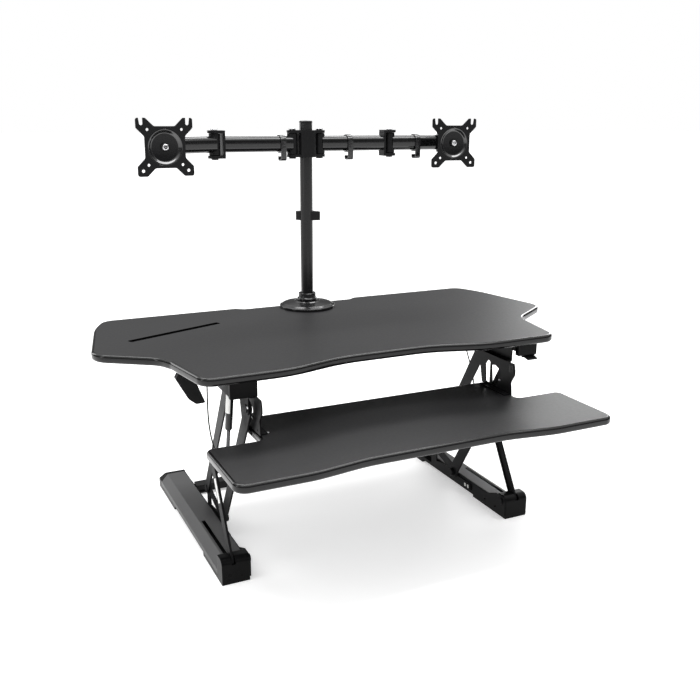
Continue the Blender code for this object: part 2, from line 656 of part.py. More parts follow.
def tray_hanger(label, side):
    """Plate that hangs the keyboard tray from the lift bracket."""
    low, high = TRAY_TOP + GAP, 0.4065
    outline = rounded([(behind(-0.0255), low, 0), (behind(0.092), low, 0),
                       (behind(0.104), 0.380, 0.006), (behind(0.104), high, 0),
                       (behind(-0.030), high, 0.002), (behind(-0.0345), 0.392, 0.004),
                       (behind(-0.0345), 0.381, 0.006), (behind(-0.0215), 0.360, 0.006)], 3)
    rear_window = rounded([(behind(0.0615), low + 0.006, 0.001),
                           (behind(0.0765), low + 0.006, 0.002),
                           (behind(0.0810), 0.379, 0.006), (behind(0.0700), 0.3925, 0.005),
                           (behind(0.0610), 0.388, 0.002)], 3)
    front_window = rounded([(behind(0.0500), low + 0.006, 0.002),
                            (behind(0.0560), 0.382, 0.002), (behind(0.0405), 0.3855, 0.005),
                            (behind(0.0160), 0.377, 0.007), (behind(0.0170), 0.366, 0.004),
                            (behind(0.0270), 0.362, 0.001), (behind(0.0250), 0.347, 0.002),
                            (behind(0.0350), low + 0.006, 0.002)], 3)
    screw_hole = circle((behind(-0.0095), 0.3375), 0.0021, 10)
    hanger = plate(f"tray_hanger_{label}", outline, HANGER_X, "black_steel", side,
                   [front_window, rear_window, screw_hole], desk_axis)
    flanges = bmesh.new()
    add_prism(flanges, box_outline((side * (HANGER_X[0] + 0.0001), high - 0.0025),
                                   (side * (PLATE_X[0] - GAP), high)),
              behind(-0.0002), behind(0.100), "y")
    add_prism(flanges, box_outline((side * 0.2880, low), (side * (HANGER_X[1] - 0.0001),
                                                          low + 0.0025)),
              behind(-0.020), behind(0.080), "y")
    join_on(hanger, flanges, f"hanger_flanges_{label}")


def paddle_bracket():
    """Small fork under the desktop that carries the release paddle."""
    x, z = PADDLE_PIVOT
    top = DESK_UNDERSIDE - GAP
    near = behind(PADDLE_BEHIND - PADDLE_THICKNESS / 2 - 0.0045)
    far = behind(PADDLE_BEHIND + PADDLE_THICKNESS / 2 + 0.0045)
    bm = bmesh.new()
    add_prism(bm, box_outline((x - 0.010, near), (x + 0.046, far)), top - 0.0025, top, "z")
    bracket = make_object("paddle_bracket", bm, "black_steel", desk_axis)
    lugs = bmesh.new()
    lug = hull([((x, z), 0.0055), ((x - 0.009, top - 0.0012), 0.0005),
                ((x + 0.014, top - 0.0012), 0.0005)], 16)
    for low in (near + 0.0001, far - 0.0041):
        add_prism(lugs, lug, low, low + 0.0040, "y")
    join_on(bracket, lugs, "paddle_lugs")
    hole = bmesh.new()
    add_rod(hole, (x, near - 0.01, z), (x, far + 0.01, z), 0.0034, 12)
    cut(bracket, hole, "paddle_pin_hole")


def release_paddle():
    """Paddle that is squeezed up towards the desktop to release the lift."""
    x, z = PADDLE_PIVOT
    half = PADDLE_THICKNESS / 2
    middle = behind(PADDLE_BEHIND)
    outline = rounded([(-0.4400, 0.4310, 0.004), (-0.4140, 0.3830, 0.008),
                       (-0.3995, 0.3710, 0.010), (-0.3795, 0.3720, 0.002),
                       (-0.3960, 0.4150, 0.004), (-0.4180, 0.4400, 0.004),
                       (-0.4330, 0.4410, 0.004)], 4)
    paddle = plate("release_paddle", outline, (middle - half, middle + half),
                   "black_plastic", axis="y", parent=paddle_axis)
    pin = bmesh.new()
    add_rod(pin, (x, middle - half - 0.0044, z), (x, middle + half + 0.0044, z), 0.0030, 12)
    join_on(paddle, pin, "paddle_pin")


def tab_housing():
    """Moulded box over the front end of the right lift bracket."""
    y, z = leg_point(TAB_PIVOT)
    top = DESK_UNDERSIDE - GAP
    bm = bmesh.new()
    outline = rounded([(behind(-0.0160), 0.4180, 0.002), (behind(-0.0003), 0.4180, 0),
                       (behind(-0.0003), top, 0), (behind(-0.0160), top, 0)], 3)
    add_prism(bm, outline, 0.3280, TAB_X[1] + 0.0037, "x")
    housing = make_object("tab_housing", bm, "black_plastic", desk_axis)
    lugs = bmesh.new()
    lug = hull([((y, z), 0.0036), ((behind(-0.0120), 0.4190), 0.0005),
                ((behind(-0.0010), 0.4190), 0.0005)], 14)
    for low in (TAB_X[0] - 0.0036, TAB_X[1] + 0.0006):
        add_prism(lugs, lug, low, low + 0.0030, "x")
    join_on(housing, lugs, "tab_lugs")
    hole = bmesh.new()
    add_rod(hole, (TAB_X[0] - 0.01, y, z), (TAB_X[1] + 0.01, y, z), 0.0021, 12)
    cut(housing, hole, "tab_pin_hole")


def locking_tab():
    """Small finger tab that hinges under its housing."""
    y, z = leg_point(TAB_PIVOT)
    outline = hull([((y, z), 0.0030), ((behind(-0.0230), 0.4105), 0.0022)], 14)
    tab = plate("locking_tab", outline, TAB_X, "black_plastic", parent=tab_axis)
    pin = bmesh.new()
    add_rod(pin, (TAB_X[0] - 0.0034, y, z), (TAB_X[1] + 0.0034, y, z), 0.0017, 12)
    join_on(tab, pin, "tab_pin")


CABLE_ROUTES = {
    "left": [(0.3500, 0.1935, 0.4426), (0.3500, 0.1930, 0.4200), (0.3500, 0.1915, 0.3810),
             (0.3500, 0.1930, 0.3170), (0.3490, 0.1860, 0.2750), (0.3470, 0.1690, 0.2440),
             (0.3450, 0.1450, 0.2230), (0.3440, 0.1276, 0.2125)],
    "right": [(0.3500, 0.2500, 0.4426), (0.3500, 0.2480, 0.4200), (0.3500, 0.2340, 0.3700),
              (0.3500, 0.2070, 0.3250), (0.3490, 0.1900, 0.2850), (0.3470, 0.1700, 0.2480),
              (0.3450, 0.1470, 0.2240), (0.3440, 0.1276, 0.2125)]}


def release_cable(label, side):
    """Sheathed cable from under the desktop down to the linkage."""
    control = [Vector((side * x, behind(y), z)) for x, y, z in CABLE_ROUTES[label]]
    points = []
    for index in range(len(control) - 1):
        before = control[max(index - 1, 0)]
        here, after = control[index], control[index + 1]
        beyond = control[min(index + 2, len(control) - 1)]
        for step in range(3):
            t = step / 3
            points.append(0.5 * ((2 * here) + (after - before) * t
                                 + (2 * before - 5 * here + 4 * after - beyond) * t ** 2
                                 + (3 * here - before - 3 * after + beyond) * t ** 3))
    points.append(control[-1])
    curve = bpy.data.curves.new(f"release_cable_{label}", "CURVE")
    curve.dimensions = "3D"
    curve.bevel_depth = 0.0017
    curve.bevel_resolution = 2
    curve.use_fill_caps = True
    spline = curve.splines.new("POLY")
    spline.points.add(len(points) - 1)
    for target, point in zip(spline.points, points):
        target.co = (*(point - place_of(desk_axis)), 1)
    curve.materials.append(finish_material("rubber"))
    obj = bpy.data.objects.new(f"release_cable_{label}", curve)
    bpy.context.collection.objects.link(obj)
    obj.parent = desk_axis


# ---------------------------------------------------------------- monitor mount
def mast_parts():
    """Clamp frame, screw, base cover, mast, collar, cable clip and cap."""
    x, y = MAST_X, behind(MAST_BEHIND)
    edge = behind(0.521)
    top = DESK_TOP + GAP
    bm = bmesh.new()
    side_view = [(y - 0.050, top), (y - 0.050, top + 0.005), (edge + 0.0065, top + 0.005),
                 (edge + 0.0065, 0.3800), (y - 0.030, 0.3800), (y - 0.030, 0.3850),
                 (edge + 0.0015, 0.3850), (edge + 0.0015, top)]
    add_prism(bm, side_view, x - 0.032, x + 0.032, "x")
    frame = make_object("clamp_frame", bm, "black_steel", desk_axis)
    hole = bmesh.new()
    add_rod(hole, (x, y, 0.370), (x, y, 0.400), 0.0065, 16)
    cut(frame, hole, "clamp_screw_hole")

    screw = bmesh.new()
    add_turned(screw, [(0, 0.3500), (0.016, 0.3500), (0.018, 0.3520), (0.018, 0.3600),
                       (0.006, 0.3620), (0.006, 0.4395), (0.021, 0.4395), (0.021, 0.4445),
                       (0.019, DESK_UNDERSIDE - GAP), (0, DESK_UNDERSIDE - GAP)],
               (x, y, 0), (0, 0, 1), 20)
    make_object("clamp_screw", screw, "black_steel", desk_axis)

    cover = bmesh.new()
    plate_top = top + 0.0053
    add_turned(cover, [(MAST_RADIUS + 0.0006, plate_top + 0.012), (0.0300, plate_top + 0.012),
                       (0.0330, plate_top + 0.0095), (0.0620, plate_top + 0.0060),
                       (0.0660, plate_top + 0.0030), (0.0710, plate_top + 0.0015),
                       (0.0720, plate_top - 0.0010), (0.0720, top), (0.0690, top),
                       (0.0690, plate_top), (MAST_RADIUS + 0.0006, plate_top)], (x, y, 0), (0, 0, 1), 24)
    make_object("base_cover", cover, "gloss_black", desk_axis)

    mast = bmesh.new()
    wall = 0.0025
    add_turned(mast, [(MAST_RADIUS, plate_top), (MAST_RADIUS, MAST_TOP),
                      (MAST_RADIUS - wall, MAST_TOP), (MAST_RADIUS - wall, plate_top)],
               (x, y, 0), (0, 0, 1), 20)
    make_object("mast", mast, "black_steel", desk_axis)

    collar = bmesh.new()
    base = plate_top + 0.012 + GAP
    add_turned(collar, [(MAST_RADIUS + GAP, base), (0.0260, base), (0.0260, base + 0.006),
                        (0.0225, base + 0.009), (0.0225, base + 0.020),
                        (MAST_RADIUS + GAP, base + 0.020)], (x, y, 0), (0, 0, 1), 20)
    make_object("mast_collar", collar, "gloss_black", desk_axis)

    clip = bmesh.new()
    outline = rounded([(x - 0.024, y + 0.004, 0.004), (x - 0.024, y - 0.022, 0.008),
                       (x + 0.030, y - 0.022, 0.004), (x + 0.030, y - 0.006, 0.003),
                       (x + 0.024, y - 0.004, 0.002), (x + 0.024, y + 0.022, 0.010),
                       (x - 0.024, y + 0.022, 0.010)], 3)
    add_prism(clip, outline, 0.6900, 0.7120, "z", [circle((x, y), MAST_RADIUS + GAP, 20)])
    make_object("mast_cable_clip", clip, "black_plastic", desk_axis)

    cap = bmesh.new()
    plug, brim = MAST_RADIUS - wall - GAP, MAST_RADIUS + 0.0008
    add_turned(cap, [(0, MAST_TOP - 0.006), (plug, MAST_TOP - 0.006), (plug, MAST_TOP + GAP),
                     (brim, MAST_TOP + GAP), (brim, MAST_TOP + 0.003),
                     (brim - 0.0020, MAST_TOP + 0.005), (0, MAST_TOP + 0.0055)],
               (x, y, 0), (0, 0, 1), 20)
    make_object("mast_cap", cap, "black_plastic", desk_axis)


def mount_clamp():
    """Clamp that slides on the mast and forks round both inner arms."""
    x, y, z = MAST_X, behind(MAST_BEHIND), ARM_HEIGHT
    lug_low = KNUCKLE_HALF + 0.0005
    bm = bmesh.new()
    core = rounded([(x - 0.0215, y - 0.0240, 0.012), (x + 0.0215, y - 0.0240, 0.012),
                    (x + 0.0215, y + 0.0240, 0.012), (x - 0.0215, y + 0.0240, 0.012)], 5)
    add_prism(bm, core, z - FORK_HALF, z + FORK_HALF, "z")
    clamp = make_object("mount_clamp", bm, "black_steel", mast_axis)
    lugs = bmesh.new()
    for sign in (-1, 1):
        centre = (x + sign * KNUCKLE_OFFSET, y)
        lug = hull([(centre, 0.0140), ((x + sign * 0.0120, y + 0.019), 0.001),
                    ((x + sign * 0.0120, y - 0.019), 0.001)], 20)
        for low, high in ((-FORK_HALF + 0.0002, -lug_low), (lug_low, FORK_HALF - 0.0002)):
            add_prism(lugs, lug, z + low, z + high, "z")
    join_on(clamp, lugs, "clamp_lugs")
    bore = bmesh.new()
    add_rod(bore, (x, y, z - 0.05), (x, y, z + 0.05), MAST_RADIUS + 0.0004, 20)
    cut(clamp, bore, "clamp_bore")
    bolts = bmesh.new()
    for sign in (-1, 1):
        add_turned(bolts, BOLT_PROFILE, (x + sign * KNUCKLE_OFFSET, y, z - FORK_HALF - 0.0035),
                   (0, 0, 1), 16)
    join_on(clamp, bolts, "clamp_bolts")


def tube_profile(y, z, half_y, half_z):
    """Rounded box section of an arm's tube, as (Y, Z)."""
    radius = half_y * 0.85
    return rounded([(y - half_y, z - half_z, radius), (y + half_y, z - half_z, radius),
                    (y + half_y, z + half_z, radius), (y - half_y, z + half_z, radius)], 4)


def inner_arm(label, side):
    """First arm of the mount: a knuckle at the mast and a fork at the elbow."""
    y, z = behind(MAST_BEHIND), ARM_HEIGHT
    start = MAST_X + side * KNUCKLE_OFFSET
    elbow = elbow_place(side).x
    axis = pivot_empty(f"inner_arm_axis_{label}", y, z, start, mast_axis)
    bm = bmesh.new()
    add_prism(bm, tube_profile(y, z, 0.0150, TUBE_HALF), start + side * 0.0030,
              elbow - side * 0.0150, "x")
    arm = make_object(f"inner_arm_{label}", bm, "black_steel", axis)
    ends = bmesh.new()
    add_prism(ends, circle((start, y), 0.0135, 24), z - KNUCKLE_HALF, z + KNUCKLE_HALF, "z")
    fork = hull([((elbow, y), 0.0165), ((elbow - side * 0.0200, y + 0.013), 0.003),
                 ((elbow - side * 0.0200, y - 0.013), 0.003)], 24)
    add_prism(ends, fork, z - FORK_HALF, z + FORK_HALF, "z")
    join_on(arm, ends, f"inner_arm_ends_{label}")
    gaps = bmesh.new()
    reach = box_outline((elbow - side * 0.0175, y - 0.04), (elbow + side * 0.03, y + 0.04))
    add_prism(gaps, reach, z - KNUCKLE_HALF - 0.0005, z + KNUCKLE_HALF + 0.0005, "z")
    cut(arm, gaps, f"elbow_gap_{label}")
    bore = bmesh.new()
    add_rod(bore, (start, y, z - 0.06), (start, y, z + 0.06), 0.0054, 14)
    cut(arm, bore, f"inner_arm_bore_{label}")
    bolt = bmesh.new()
    add_turned(bolt, BOLT_PROFILE, (elbow, y, z - FORK_HALF - 0.0035), (0, 0, 1), 16)
    join_on(arm, bolt, f"elbow_bolt_{label}")
    return axis


def elbow_place(side):
    """Elbow of an arm, as (X, Y)."""
    return Vector((MAST_X + side * ELBOW_OFFSET, behind(MAST_BEHIND)))


def swing_matrix(label, side):
    """Turns a straight outer arm about its elbow to its place."""
    return Matrix.Rotation(-side * OUTER_SWING[label], 3, "Z")


def head_place(label, side):
    """Swivel axis at the end of an outer arm, as (X, Y)."""
    reach = swing_matrix(label, side) @ Vector((side * OUTER_ARM_LENGTH, 0, 0))
    return elbow_place(side) + reach.to_2d()


def outer_arm(label, side, inner_axis):
    """Second arm of the mount: knuckles at the elbow and at the head."""
    z = ARM_HEIGHT
    elbow, y = elbow_place(side)
    head = elbow + side * OUTER_ARM_LENGTH
    axis = pivot_empty(f"outer_arm_axis_{label}", y, z, elbow, inner_axis)
    bm = bmesh.new()
    add_prism(bm, tube_profile(y, z, 0.0150, TUBE_HALF), elbow + side * 0.0030,
              head - side * 0.0270, "x")
    ends = bmesh.new()
    neck = box_outline((y - 0.0080, z - 0.0185), (y + 0.0080, z + 0.0185))
    add_prism(ends, neck, head - side * 0.0280, head - side * 0.0080, "x")
    add_prism(ends, circle((elbow, y), 0.0135, 24), z - KNUCKLE_HALF, z + KNUCKLE_HALF, "z")
    add_prism(ends, circle((head, y), 0.0162, 24), z - 0.0200, z + 0.0200, "z")
    bores = bmesh.new()
    for centre in (elbow, head):
        add_rod(bores, (centre, y, z - 0.06), (centre, y, z + 0.06), 0.0054, 14)
    for solid in (bm, ends, bores):
        bmesh.ops.rotate(solid, verts=solid.verts, cent=(elbow, y, z),
                         matrix=swing_matrix(label, side))
    arm = make_object(f"outer_arm_{label}", bm, "black_steel", axis)
    join_on(arm, ends, f"outer_arm_ends_{label}")
    cut(arm, bores, f"outer_arm_bores_{label}")
    return axis


def arm_clip(name, x, axis):
    """Ring that snaps round an arm's tube, with a hook for cables below it."""
    y, z = behind(MAST_BEHIND), ARM_HEIGHT
    outline = [(-0.0178, 0.0218, 0.0150), (0.0178, 0.0218, 0.0150), (0.0178, -0.0218, 0.0150),
               (-0.0148, -0.0218, 0.0005), (-0.0148, -0.0375, 0.0045),
               (0.0020, -0.0375, 0.0030), (0.0020, -0.0300, 0.0003),
               (0.0046, -0.0300, 0.0012), (0.0046, -0.0405, 0.0055),
               (-0.0178, -0.0405, 0.0070)]
    outline = rounded([(y + u, z + v, radius) for u, v, radius in outline], 4)
    ring = tube_profile(y, z, 0.0150 + GAP, TUBE_HALF + GAP)
    plate(name, outline, (x - 0.0070, x + 0.0070), "black_plastic", holes=[ring], parent=axis)


def turn_head(label, side, solids):
    """Turns solids that face the user to the way that a head faces."""
    head, y = head_place(label, side)
    for solid in solids:
        bmesh.ops.rotate(solid, verts=solid.verts, cent=(head, y, ARM_HEIGHT),
                         matrix=Matrix.Rotation(HEAD_TURN[label], 3, "Z"))


def ahead_of_head(label, side, distance):
    """Point in front of a head's swivel axis, as (X, Y)."""
    forward = Vector((0, -distance))
    forward.rotate(Matrix.Rotation(HEAD_TURN[label], 2))
    return head_place(label, side) + forward


def swivel_yoke(label, side, outer_axis):
    """Fork that swivels on the outer arm's end and carries the tilt axis."""
    z = ARM_HEIGHT
    head, y = head_place(label, side)
    axis = pivot_empty(f"swivel_axis_{label}", y, z, head, outer_axis)
    front = y - TILT_FORWARD
    fork = bmesh.new()
    outline = [(y + 0.012, z + 0.0205), (y + 0.012, z + 0.0255), (y - 0.024, z + 0.0255),
               (y - 0.024, z - 0.0255), (y + 0.012, z - 0.0255), (y + 0.012, z - 0.0205),
               (y - 0.0175, z - 0.0205), (y - 0.0175, z + 0.0205)]
    add_prism(fork, outline, head - 0.010, head + 0.010, "x")
    tongue = bmesh.new()
    lug = hull([((front, z), 0.0100), ((y - 0.0235, z + 0.011), 0.002),
                ((y - 0.0235, z - 0.011), 0.002)], 16)
    add_prism(tongue, lug, head - 0.0065, head + 0.0065, "x")
    bore = bmesh.new()
    add_rod(bore, (head - 0.03, front, z), (head + 0.03, front, z), 0.0044, 14)
    pin = bmesh.new()
    add_turned(pin, [(0, 0), (0.008, 0), (0.008, 0.004), (0.005, 0.004), (0.005, 0.0536),
                     (0.008, 0.0536), (0.008, 0.0576), (0, 0.0576)],
               (head, y, z - 0.0288), (0, 0, 1), 16)
    turn_head(label, side, (fork, tongue, bore, pin))
    yoke = make_object(f"swivel_yoke_{label}", fork, "black_steel", axis)
    join_on(yoke, tongue, f"yoke_tongue_{label}")
    cut(yoke, bore, f"yoke_bore_{label}")
    join_on(yoke, pin, f"yoke_pin_{label}")
    return axis


def tilt_hub(label, side, swivel_axis):
    """Clevis that tilts on the yoke, with its cross bolt and the plate's spindle."""
    z = ARM_HEIGHT
    head, y = head_place(label, side)
    front = y - TILT_FORWARD
    back_of_plate = y - PLATE_FORWARD
    tilt_x, tilt_y = ahead_of_head(label, side, TILT_FORWARD)
    axis = pivot_empty(f"tilt_axis_{label}", tilt_y, z, tilt_x, swivel_axis)
    spindle = bmesh.new()
    add_turned(spindle, [(0, 0), (0.0080, 0), (0.0095, 0.0015), (0.0095, 0.0055),
                         (0.0075, 0.0055), (0.0075, 0.0090), (0.0200, 0.0090),
                         (0.0215, 0.0105), (0.0215, 0.0155), (0, 0.0155)],
               (head, back_of_plate - 0.0052, z), (0, 1, 0), 24)
    cheeks = bmesh.new()
    cheek = hull([((front, z), 0.0100), ((back_of_plate + 0.0080, z + 0.0120), 0.0005),
                  ((back_of_plate + 0.0080, z - 0.0120), 0.0005)], 16)
    for low in (-0.0130, 0.0070):
        add_prism(cheeks, cheek, head + low, head + low + 0.0060, "x")
    add_rod(cheeks, (head - 0.0165, front, z), (head + 0.0165, front, z), 0.0040, 14)
    turn_head(label, side, (spindle, cheeks))
    hub = make_object(f"tilt_hub_{label}", spindle, "black_steel", axis)
    join_on(hub, cheeks, f"hub_cheeks_{label}")
    return axis


def vesa_plate(label, side, tilt_axis):
    """Mounting plate: a pressed dish and four ears with both standard hole patterns."""
    z = ARM_HEIGHT
    head, y = head_place(label, side)
    back = y - PLATE_FORWARD - 0.0002
    sheet = 0.0030
    plate_x, plate_y = ahead_of_head(label, side, PLATE_FORWARD + 0.0002)
    axis = pivot_empty(f"plate_axis_{label}", plate_y, z, plate_x, tilt_axis)
    half, waist = VESA_PLATE / 2, 0.0445
    quarter = [(0.023, waist, 0.008), (0.0410, half, 0.004), (half, half, 0.005),
               (half, 0.0410, 0.004), (waist, 0.023, 0.008)]
    corners = []
    for turn in range(4):
        for u, v, radius in quarter:
            for _ in range(turn):
                u, v = v, -u
            corners.append((head + u, z + v, radius))
    small, large = VESA_SMALL / 2, VESA_LARGE / 2
    holes = [circle((head + i * small, z + j * small), 0.0028, 10)
             for i in (-1, 1) for j in (-1, 1)]
    holes += [circle((head + i * large, z - large), 0.0032, 10) for i in (-1, 1)]
    holes.append(circle((head, z), 0.0395, 24))
    sheet_bm = bmesh.new()
    add_prism(sheet_bm, rounded(corners, 3), back - sheet, back, "y", holes)
    dish = bmesh.new()
    add_turned(dish, [(0.0080, 0.0040), (0.0350, 0.0040), (0.0388, 0.0002), (0.0410, 0.0002),
                      (0.0410, 0.0028), (0.0370, 0.0065), (0.0080, 0.0065)],
               (head, back - sheet, z), (0, 1, 0), 24)
    notches = bmesh.new()
    for i in (-1, 1):
        x = head + i * large
        notch = hull([((x, z + large), 0.0035), ((x, z + half + 0.010), 0.0035),
                      ((x + i * 0.0050, z + half + 0.010), 0.0020)], 14)
        add_prism(notches, notch, back - 0.010, back + 0.010, "y")
    turn_head(label, side, (sheet_bm, dish, notches))
    mounting = make_object(f"vesa_plate_{label}", sheet_bm, "black_steel", axis)
    join_on(mounting, dish, f"plate_dish_{label}", "MANIFOLD")
    cut(mounting, notches, f"plate_notches_{label}", "MANIFOLD")


# ---------------------------------------------------------------- build
for label, side in SIDES:
    foot_rail(label, side)
    foot_cover(label, side)
    front_cap(label, side)
    rear_cap(label, side)
    front_link(label, side)
    main_arm(label, side)
    rear_arm(label, side)
    carriage_plate(label, side)
    glide_shoe(label, side)
    lift_bracket(label, side)
    tray_hanger(label, side)
    release_cable(label, side)
    inner = inner_arm(label, side)
    arm_clip(f"inner_arm_clip_{label}", MAST_X + CLIP_OFFSET[label], inner)
    outer = outer_arm(label, side, inner)
    swivel = swivel_yoke(label, side, outer)
    tilt = tilt_hub(label, side, swivel)
    vesa_plate(label, side, tilt)
    if side > 0:
        arm_clip("outer_arm_clip_right", MAST_X + ELBOW_OFFSET + 0.077, outer)

rear_crossbar()
gas_spring()
desktop()
keyboard_tray()
front_cover()
paddle_bracket()
release_paddle()
tab_housing()
locking_tab()
mast_parts()
mount_clamp()
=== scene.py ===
"""Looks of the standing desk converter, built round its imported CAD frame.

Metres, +Z up, -Y towards the user.  Shapes repeat part.py's design, finer.
"""
import json

import bmesh
import bpy
from math import atan2, cos, pi, radians, sin
from mathutils import Matrix, Vector


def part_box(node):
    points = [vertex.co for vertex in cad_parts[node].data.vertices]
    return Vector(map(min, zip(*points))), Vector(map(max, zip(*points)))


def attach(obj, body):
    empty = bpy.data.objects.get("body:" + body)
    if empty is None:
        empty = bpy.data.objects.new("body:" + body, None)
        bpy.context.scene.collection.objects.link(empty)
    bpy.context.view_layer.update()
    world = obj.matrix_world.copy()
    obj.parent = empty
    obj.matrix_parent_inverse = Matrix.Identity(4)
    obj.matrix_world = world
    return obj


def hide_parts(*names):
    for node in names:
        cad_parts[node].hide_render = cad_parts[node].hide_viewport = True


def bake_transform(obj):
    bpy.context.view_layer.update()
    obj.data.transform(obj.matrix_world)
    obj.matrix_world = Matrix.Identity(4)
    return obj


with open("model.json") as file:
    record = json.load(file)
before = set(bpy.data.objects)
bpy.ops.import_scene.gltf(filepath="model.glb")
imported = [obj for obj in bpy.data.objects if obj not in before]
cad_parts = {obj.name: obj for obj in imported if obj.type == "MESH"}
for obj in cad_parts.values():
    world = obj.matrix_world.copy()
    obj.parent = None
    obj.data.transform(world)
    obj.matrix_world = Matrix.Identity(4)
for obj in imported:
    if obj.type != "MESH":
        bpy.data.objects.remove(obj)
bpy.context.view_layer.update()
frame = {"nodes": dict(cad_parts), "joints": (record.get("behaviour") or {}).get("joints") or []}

JOINTS = {joint["name"]: joint for joint in frame["joints"]}
SIDES = (("left", -1), ("right", 1))


def pivot(joint):
    """Place of a hinge's axis in the frame."""
    return Vector(JOINTS[joint]["pos_m"])


# ------------------------------------------------------------------ camera and stage
CAMERA_PLACE = Vector((-0.8344, -1.6891, 0.9535))
CAMERA_YAW, CAMERA_PITCH, CAMERA_ROLL = 0.4494, 0.2724, 0.0059
CAMERA_LENS, SENSOR_WIDTH, FAR_CLIP = 43.58, 36, 50
FLOOR_HALF, FLOOR_DROP = 40, 0.0006
FLOOR_GREY, FLOOR_GLOW = 0.80, 0.42
# The sky's glow: upward component where it starts and ends, then its strength at each.
WORLD_GLOW = (0.25, 0.75, 0.16, 1.55)
# Area lights: place, target, width, power in watts, height.
LIGHTS = {"top_back": ((0.0, 1.0, 2.4), (0, 0.3, 0.6), 2.8, 40, 0.5),
          "top_front": ((0.0, -0.45, 2.5), (0, 0, 0.5), 2.8, 40, 0.45),
          "left_strip": ((-2.3, -0.2, 1.3), (0, 0, 0.5), 0.35, 7, 1.6),
          "back_left": ((-1.9, 2.5, 1.5), (-0.4, -0.2, 0.33), 1.1, 20, 1.5),
          "right_back": ((2.7, 2.1, 1.35), (0.35, -0.3, 0.33), 1.1, 16, 0.7)}


def make_camera():
    """Camera at the photograph's place, looking down at the riser from its front left."""
    ahead = Vector((sin(CAMERA_YAW) * cos(CAMERA_PITCH), cos(CAMERA_YAW) * cos(CAMERA_PITCH),
                    -sin(CAMERA_PITCH)))
    right = Vector((cos(CAMERA_YAW), -sin(CAMERA_YAW), 0))
    up = right.cross(ahead)
    rolled_right = right * cos(CAMERA_ROLL) + up * sin(CAMERA_ROLL)
    rolled_up = up * cos(CAMERA_ROLL) - right * sin(CAMERA_ROLL)
    data = bpy.data.cameras.new("camera")
    data.lens = CAMERA_LENS
    data.sensor_width = SENSOR_WIDTH
    data.clip_end = FAR_CLIP
    camera = bpy.data.objects.new("camera", data)
    bpy.context.collection.objects.link(camera)
    basis = Matrix((rolled_right, rolled_up, -ahead)).transposed().to_4x4()
    camera.matrix_world = Matrix.Translation(CAMERA_PLACE) @ basis
    bpy.context.scene.camera = camera


def area_light(name, place, target, width, power, height):
    """Rectangular soft light that faces a target."""
    data = bpy.data.lights.new(name, "AREA")
    data.shape = "RECTANGLE"
    data.size = width
    data.size_y = height
    data.energy = power
    light = bpy.data.objects.new(name, data)
    bpy.context.collection.objects.link(light)
    light.location = place
    light.rotation_euler = (Vector(target) - Vector(place)).to_track_quat("-Z", "Y").to_euler()


def make_stage():
    """Pale floor, bright surroundings and soft studio lights."""
    mesh = bpy.data.meshes.new("floor")
    bm = bmesh.new()
    bmesh.ops.create_grid(bm, x_segments=1, y_segments=1, size=FLOOR_HALF)
    bm.to_mesh(mesh)
    bm.free()
    floor = bpy.data.objects.new("floor", mesh)
    bpy.context.collection.objects.link(floor)
    floor.location.z = -FLOOR_DROP
    material = bpy.data.materials.new("floor")
    material.use_nodes = True
    shader = material.node_tree.nodes["Principled BSDF"]
    shader.inputs["Base Color"].default_value = (FLOOR_GREY, FLOOR_GREY, FLOOR_GREY, 1)
    shader.inputs["Roughness"].default_value = 0.9
    shader.inputs["Specular IOR Level"].default_value = 0.1
    shader.inputs["Emission Color"].default_value = (1, 1, 1, 1)
    shader.inputs["Emission Strength"].default_value = FLOOR_GLOW
    mesh.materials.append(material)
    make_world()
    bpy.context.scene.view_settings.view_transform = "Standard"
    for name, settings in LIGHTS.items():
        area_light(name, *settings)


def make_world():
    """Surroundings white to the eye, which light from above and stay dark at the sides."""
    world = bpy.data.worlds.new("studio")
    world.use_nodes = True
    tree = world.node_tree
    background = tree.nodes["Background"]
    coordinates = tree.nodes.new("ShaderNodeTexCoord")
    parts = tree.nodes.new("ShaderNodeSeparateXYZ")
    tree.links.new(coordinates.outputs["Generated"], parts.inputs["Vector"])
    ramp = tree.nodes.new("ShaderNodeMapRange")
    ramp.interpolation_type = "SMOOTHSTEP"
    for name, value in zip(("From Min", "From Max", "To Min", "To Max"), WORLD_GLOW):
        ramp.inputs[name].default_value = value
    tree.links.new(parts.outputs["Z"], ramp.inputs["Value"])
    path = tree.nodes.new("ShaderNodeLightPath")
    strength = tree.nodes.new("ShaderNodeMix")
    strength.inputs["B"].default_value = 1.0
    tree.links.new(path.outputs["Is Camera Ray"], strength.inputs["Factor"])
    tree.links.new(ramp.outputs["Result"], strength.inputs["A"])
    tree.links.new(strength.outputs["Result"], background.inputs["Strength"])
    background.inputs["Color"].default_value = (1, 1, 1, 1)
    bpy.context.scene.world = world


# ------------------------------------------------------------------ materials
NOISE_LOW, NOISE_HIGH = 0.3, 0.7


def noise_nodes(tree, scale, detail, roughness, stretch):
    """Noise in object space, which stays fixed to the piece; stretch scales each axis."""
    coordinates = tree.nodes.new("ShaderNodeTexCoord")
    noise = tree.nodes.new("ShaderNodeTexNoise")
    noise.inputs["Scale"].default_value = scale
    noise.inputs["Detail"].default_value = detail
    noise.inputs["Roughness"].default_value = roughness
    source = coordinates.outputs["Object"]
    if stretch:
        mapping = tree.nodes.new("ShaderNodeMapping")
        mapping.inputs["Scale"].default_value = stretch
        tree.links.new(source, mapping.inputs["Vector"])
        source = mapping.outputs["Vector"]
    tree.links.new(source, noise.inputs["Vector"])
    return noise.outputs["Fac"]


